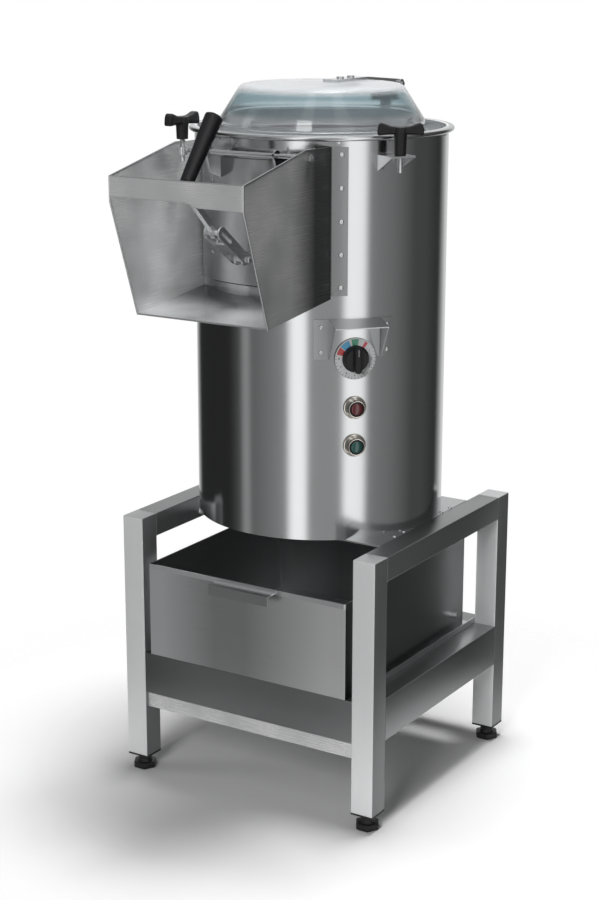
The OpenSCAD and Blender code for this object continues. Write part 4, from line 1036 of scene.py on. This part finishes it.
def build_stage(light):
    """Floor, surroundings, soft lights, and the camera at the photograph's angle."""
    scene = bpy.context.scene
    scene.view_settings.view_transform = "Standard"
    build_world(light)
    build_floor()
    # angle, distance, height, width, tallness, power in watts, and downward tilt in degrees
    soft_box("box_left", -62, 2.6, 1.3, 0.7, 1.6, 8, 0)
    soft_box("box_camera", 12, 3.4, 1.9, 1.0, 1.4, 52, 24)
    soft_box("box_top", 150, 0.3, 3.2, 0.8, 0.8, 115, 90)
    camera = bpy.data.cameras.new("camera")
    camera.lens, camera.sensor_width, camera.sensor_fit = EYE_LENS, 36.0, "AUTO"
    eye = linked("camera", camera)
    eye.location = EYE
    eye.rotation_euler = [math.radians(a) for a in EYE_TURN]
    scene.camera = eye


# ---- add-on ----


class PeelerSettings(bpy.types.PropertyGroup):
    """Sizes and colours of the dressing."""

    steel: FloatVectorProperty(name="Steel", description="Colour of the brushed steel", size=3,
                               subtype="COLOR", default=(0.54, 0.55, 0.555))
    light: FloatProperty(name="Room light", description="Brightness of the even light round the machine",
                         default=0.08, min=0, max=2)


class PEELER_OT_finishes(bpy.types.Operator):
    """Makes every finish on the machine"""

    bl_idname = "peeler.finishes"
    bl_label = "Finishes"

    def execute(self, context):
        make_finishes(context.scene.peeler.steel)
        return {"FINISHED"}


class PEELER_OT_stage(bpy.types.Operator):
    """Makes the floor, the lights and the camera"""

    bl_idname = "peeler.stage"
    bl_label = "Stage"

    def execute(self, context):
        build_stage(context.scene.peeler.light)
        return {"FINISHED"}


class PEELER_OT_stand(bpy.types.Operator):
    """Builds the tubes, rails, plate and box runners"""

    bl_idname = "peeler.stand"
    bl_label = "Stand"

    def execute(self, context):
        build_stand()
        return {"FINISHED"}


class PEELER_OT_feet(bpy.types.Operator):
    """Builds the post plugs and levelling feet"""

    bl_idname = "peeler.feet"
    bl_label = "Feet"

    def execute(self, context):
        build_feet()
        return {"FINISHED"}


class PEELER_OT_drum(bpy.types.Operator):
    """Builds the drum wall, rim bead and seam"""

    bl_idname = "peeler.drum"
    bl_label = "Drum"

    def execute(self, context):
        build_drum()
        return {"FINISHED"}


class PEELER_OT_chute(bpy.types.Operator):
    """Builds the chute sheets, hems, screws and door rod"""

    bl_idname = "peeler.chute"
    bl_label = "Chute"

    def execute(self, context):
        build_chute()
        return {"FINISHED"}


class PEELER_OT_door(bpy.types.Operator):
    """Builds the discharge door, its ears, the link and the lever arm"""

    bl_idname = "peeler.door"
    bl_label = "Door"

    def execute(self, context):
        build_door()
        return {"FINISHED"}


class PEELER_OT_grip(bpy.types.Operator):
    """Builds the lever grip"""

    bl_idname = "peeler.grip"
    bl_label = "Grip"

    def execute(self, context):
        build_grip()
        return {"FINISHED"}


class PEELER_OT_lid(bpy.types.Operator):
    """Builds the clear lid, its strap and its hinge bracket"""

    bl_idname = "peeler.lid"
    bl_label = "Lid"

    def execute(self, context):
        build_lid()
        return {"FINISHED"}


class PEELER_OT_clamps(bpy.types.Operator):
    """Builds the wing knobs, studs and brackets"""

    bl_idname = "peeler.clamps"
    bl_label = "Clamps"

    def execute(self, context):
        build_clamps()
        return {"FINISHED"}


class PEELER_OT_dial(bpy.types.Operator):
    """Builds the dial plate, numbers, timer knob and guard"""

    bl_idname = "peeler.dial"
    bl_label = "Dial"

    def execute(self, context):
        build_dial()
        return {"FINISHED"}


class PEELER_OT_buttons(bpy.types.Operator):
    """Builds the bezels and button caps"""

    bl_idname = "peeler.buttons"
    bl_label = "Buttons"

    def execute(self, context):
        build_buttons()
        return {"FINISHED"}


class PEELER_OT_starch_box(bpy.types.Operator):
    """Builds the starch box under the drum"""

    bl_idname = "peeler.starch_box"
    bl_label = "Starch box"

    def execute(self, context):
        dress("starch_box", 0.45, "box")
        return {"FINISHED"}


class PEELER_OT_services(bpy.types.Operator):
    """Builds the water spigot and the cord gland"""

    bl_idname = "peeler.services"
    bl_label = "Services"

    def execute(self, context):
        build_services()
        return {"FINISHED"}


class PEELER_OT_inside(bpy.types.Operator):
    """Builds the chamber, the drive and the switch works"""

    bl_idname = "peeler.inside"
    bl_label = "Inside"

    def execute(self, context):
        build_inside()
        return {"FINISHED"}


STEPS = (
    PEELER_OT_stage, PEELER_OT_finishes,
    PEELER_OT_stand, PEELER_OT_feet, PEELER_OT_drum, PEELER_OT_chute, PEELER_OT_door, PEELER_OT_grip,
    PEELER_OT_lid, PEELER_OT_clamps, PEELER_OT_dial, PEELER_OT_buttons, PEELER_OT_starch_box,
    PEELER_OT_services, PEELER_OT_inside,
)


class PEELER_PT_panel(bpy.types.Panel):
    """Lists the settings and the steps"""

    bl_label = "Potato peeler"
    bl_space_type = "VIEW_3D"
    bl_region_type = "UI"
    bl_category = "Peeler"

    def draw(self, context):
        self.layout.prop(context.scene.peeler, "steel")
        self.layout.prop(context.scene.peeler, "light")
        for step in STEPS:
            self.layout.operator(step.bl_idname)


CLASSES = (PeelerSettings, *STEPS, PEELER_PT_panel)


def register():
    for c in CLASSES:
        bpy.utils.register_class(c)
    bpy.types.Scene.peeler = PointerProperty(type=PeelerSettings)


def unregister():
    del bpy.types.Scene.peeler
    for c in reversed(CLASSES):
        bpy.utils.unregister_class(c)


def main():
    register()
    for step in STEPS:
        getattr(bpy.ops.peeler, step.bl_idname.removeprefix("peeler."))()


if __name__ == "__main__":
    main()
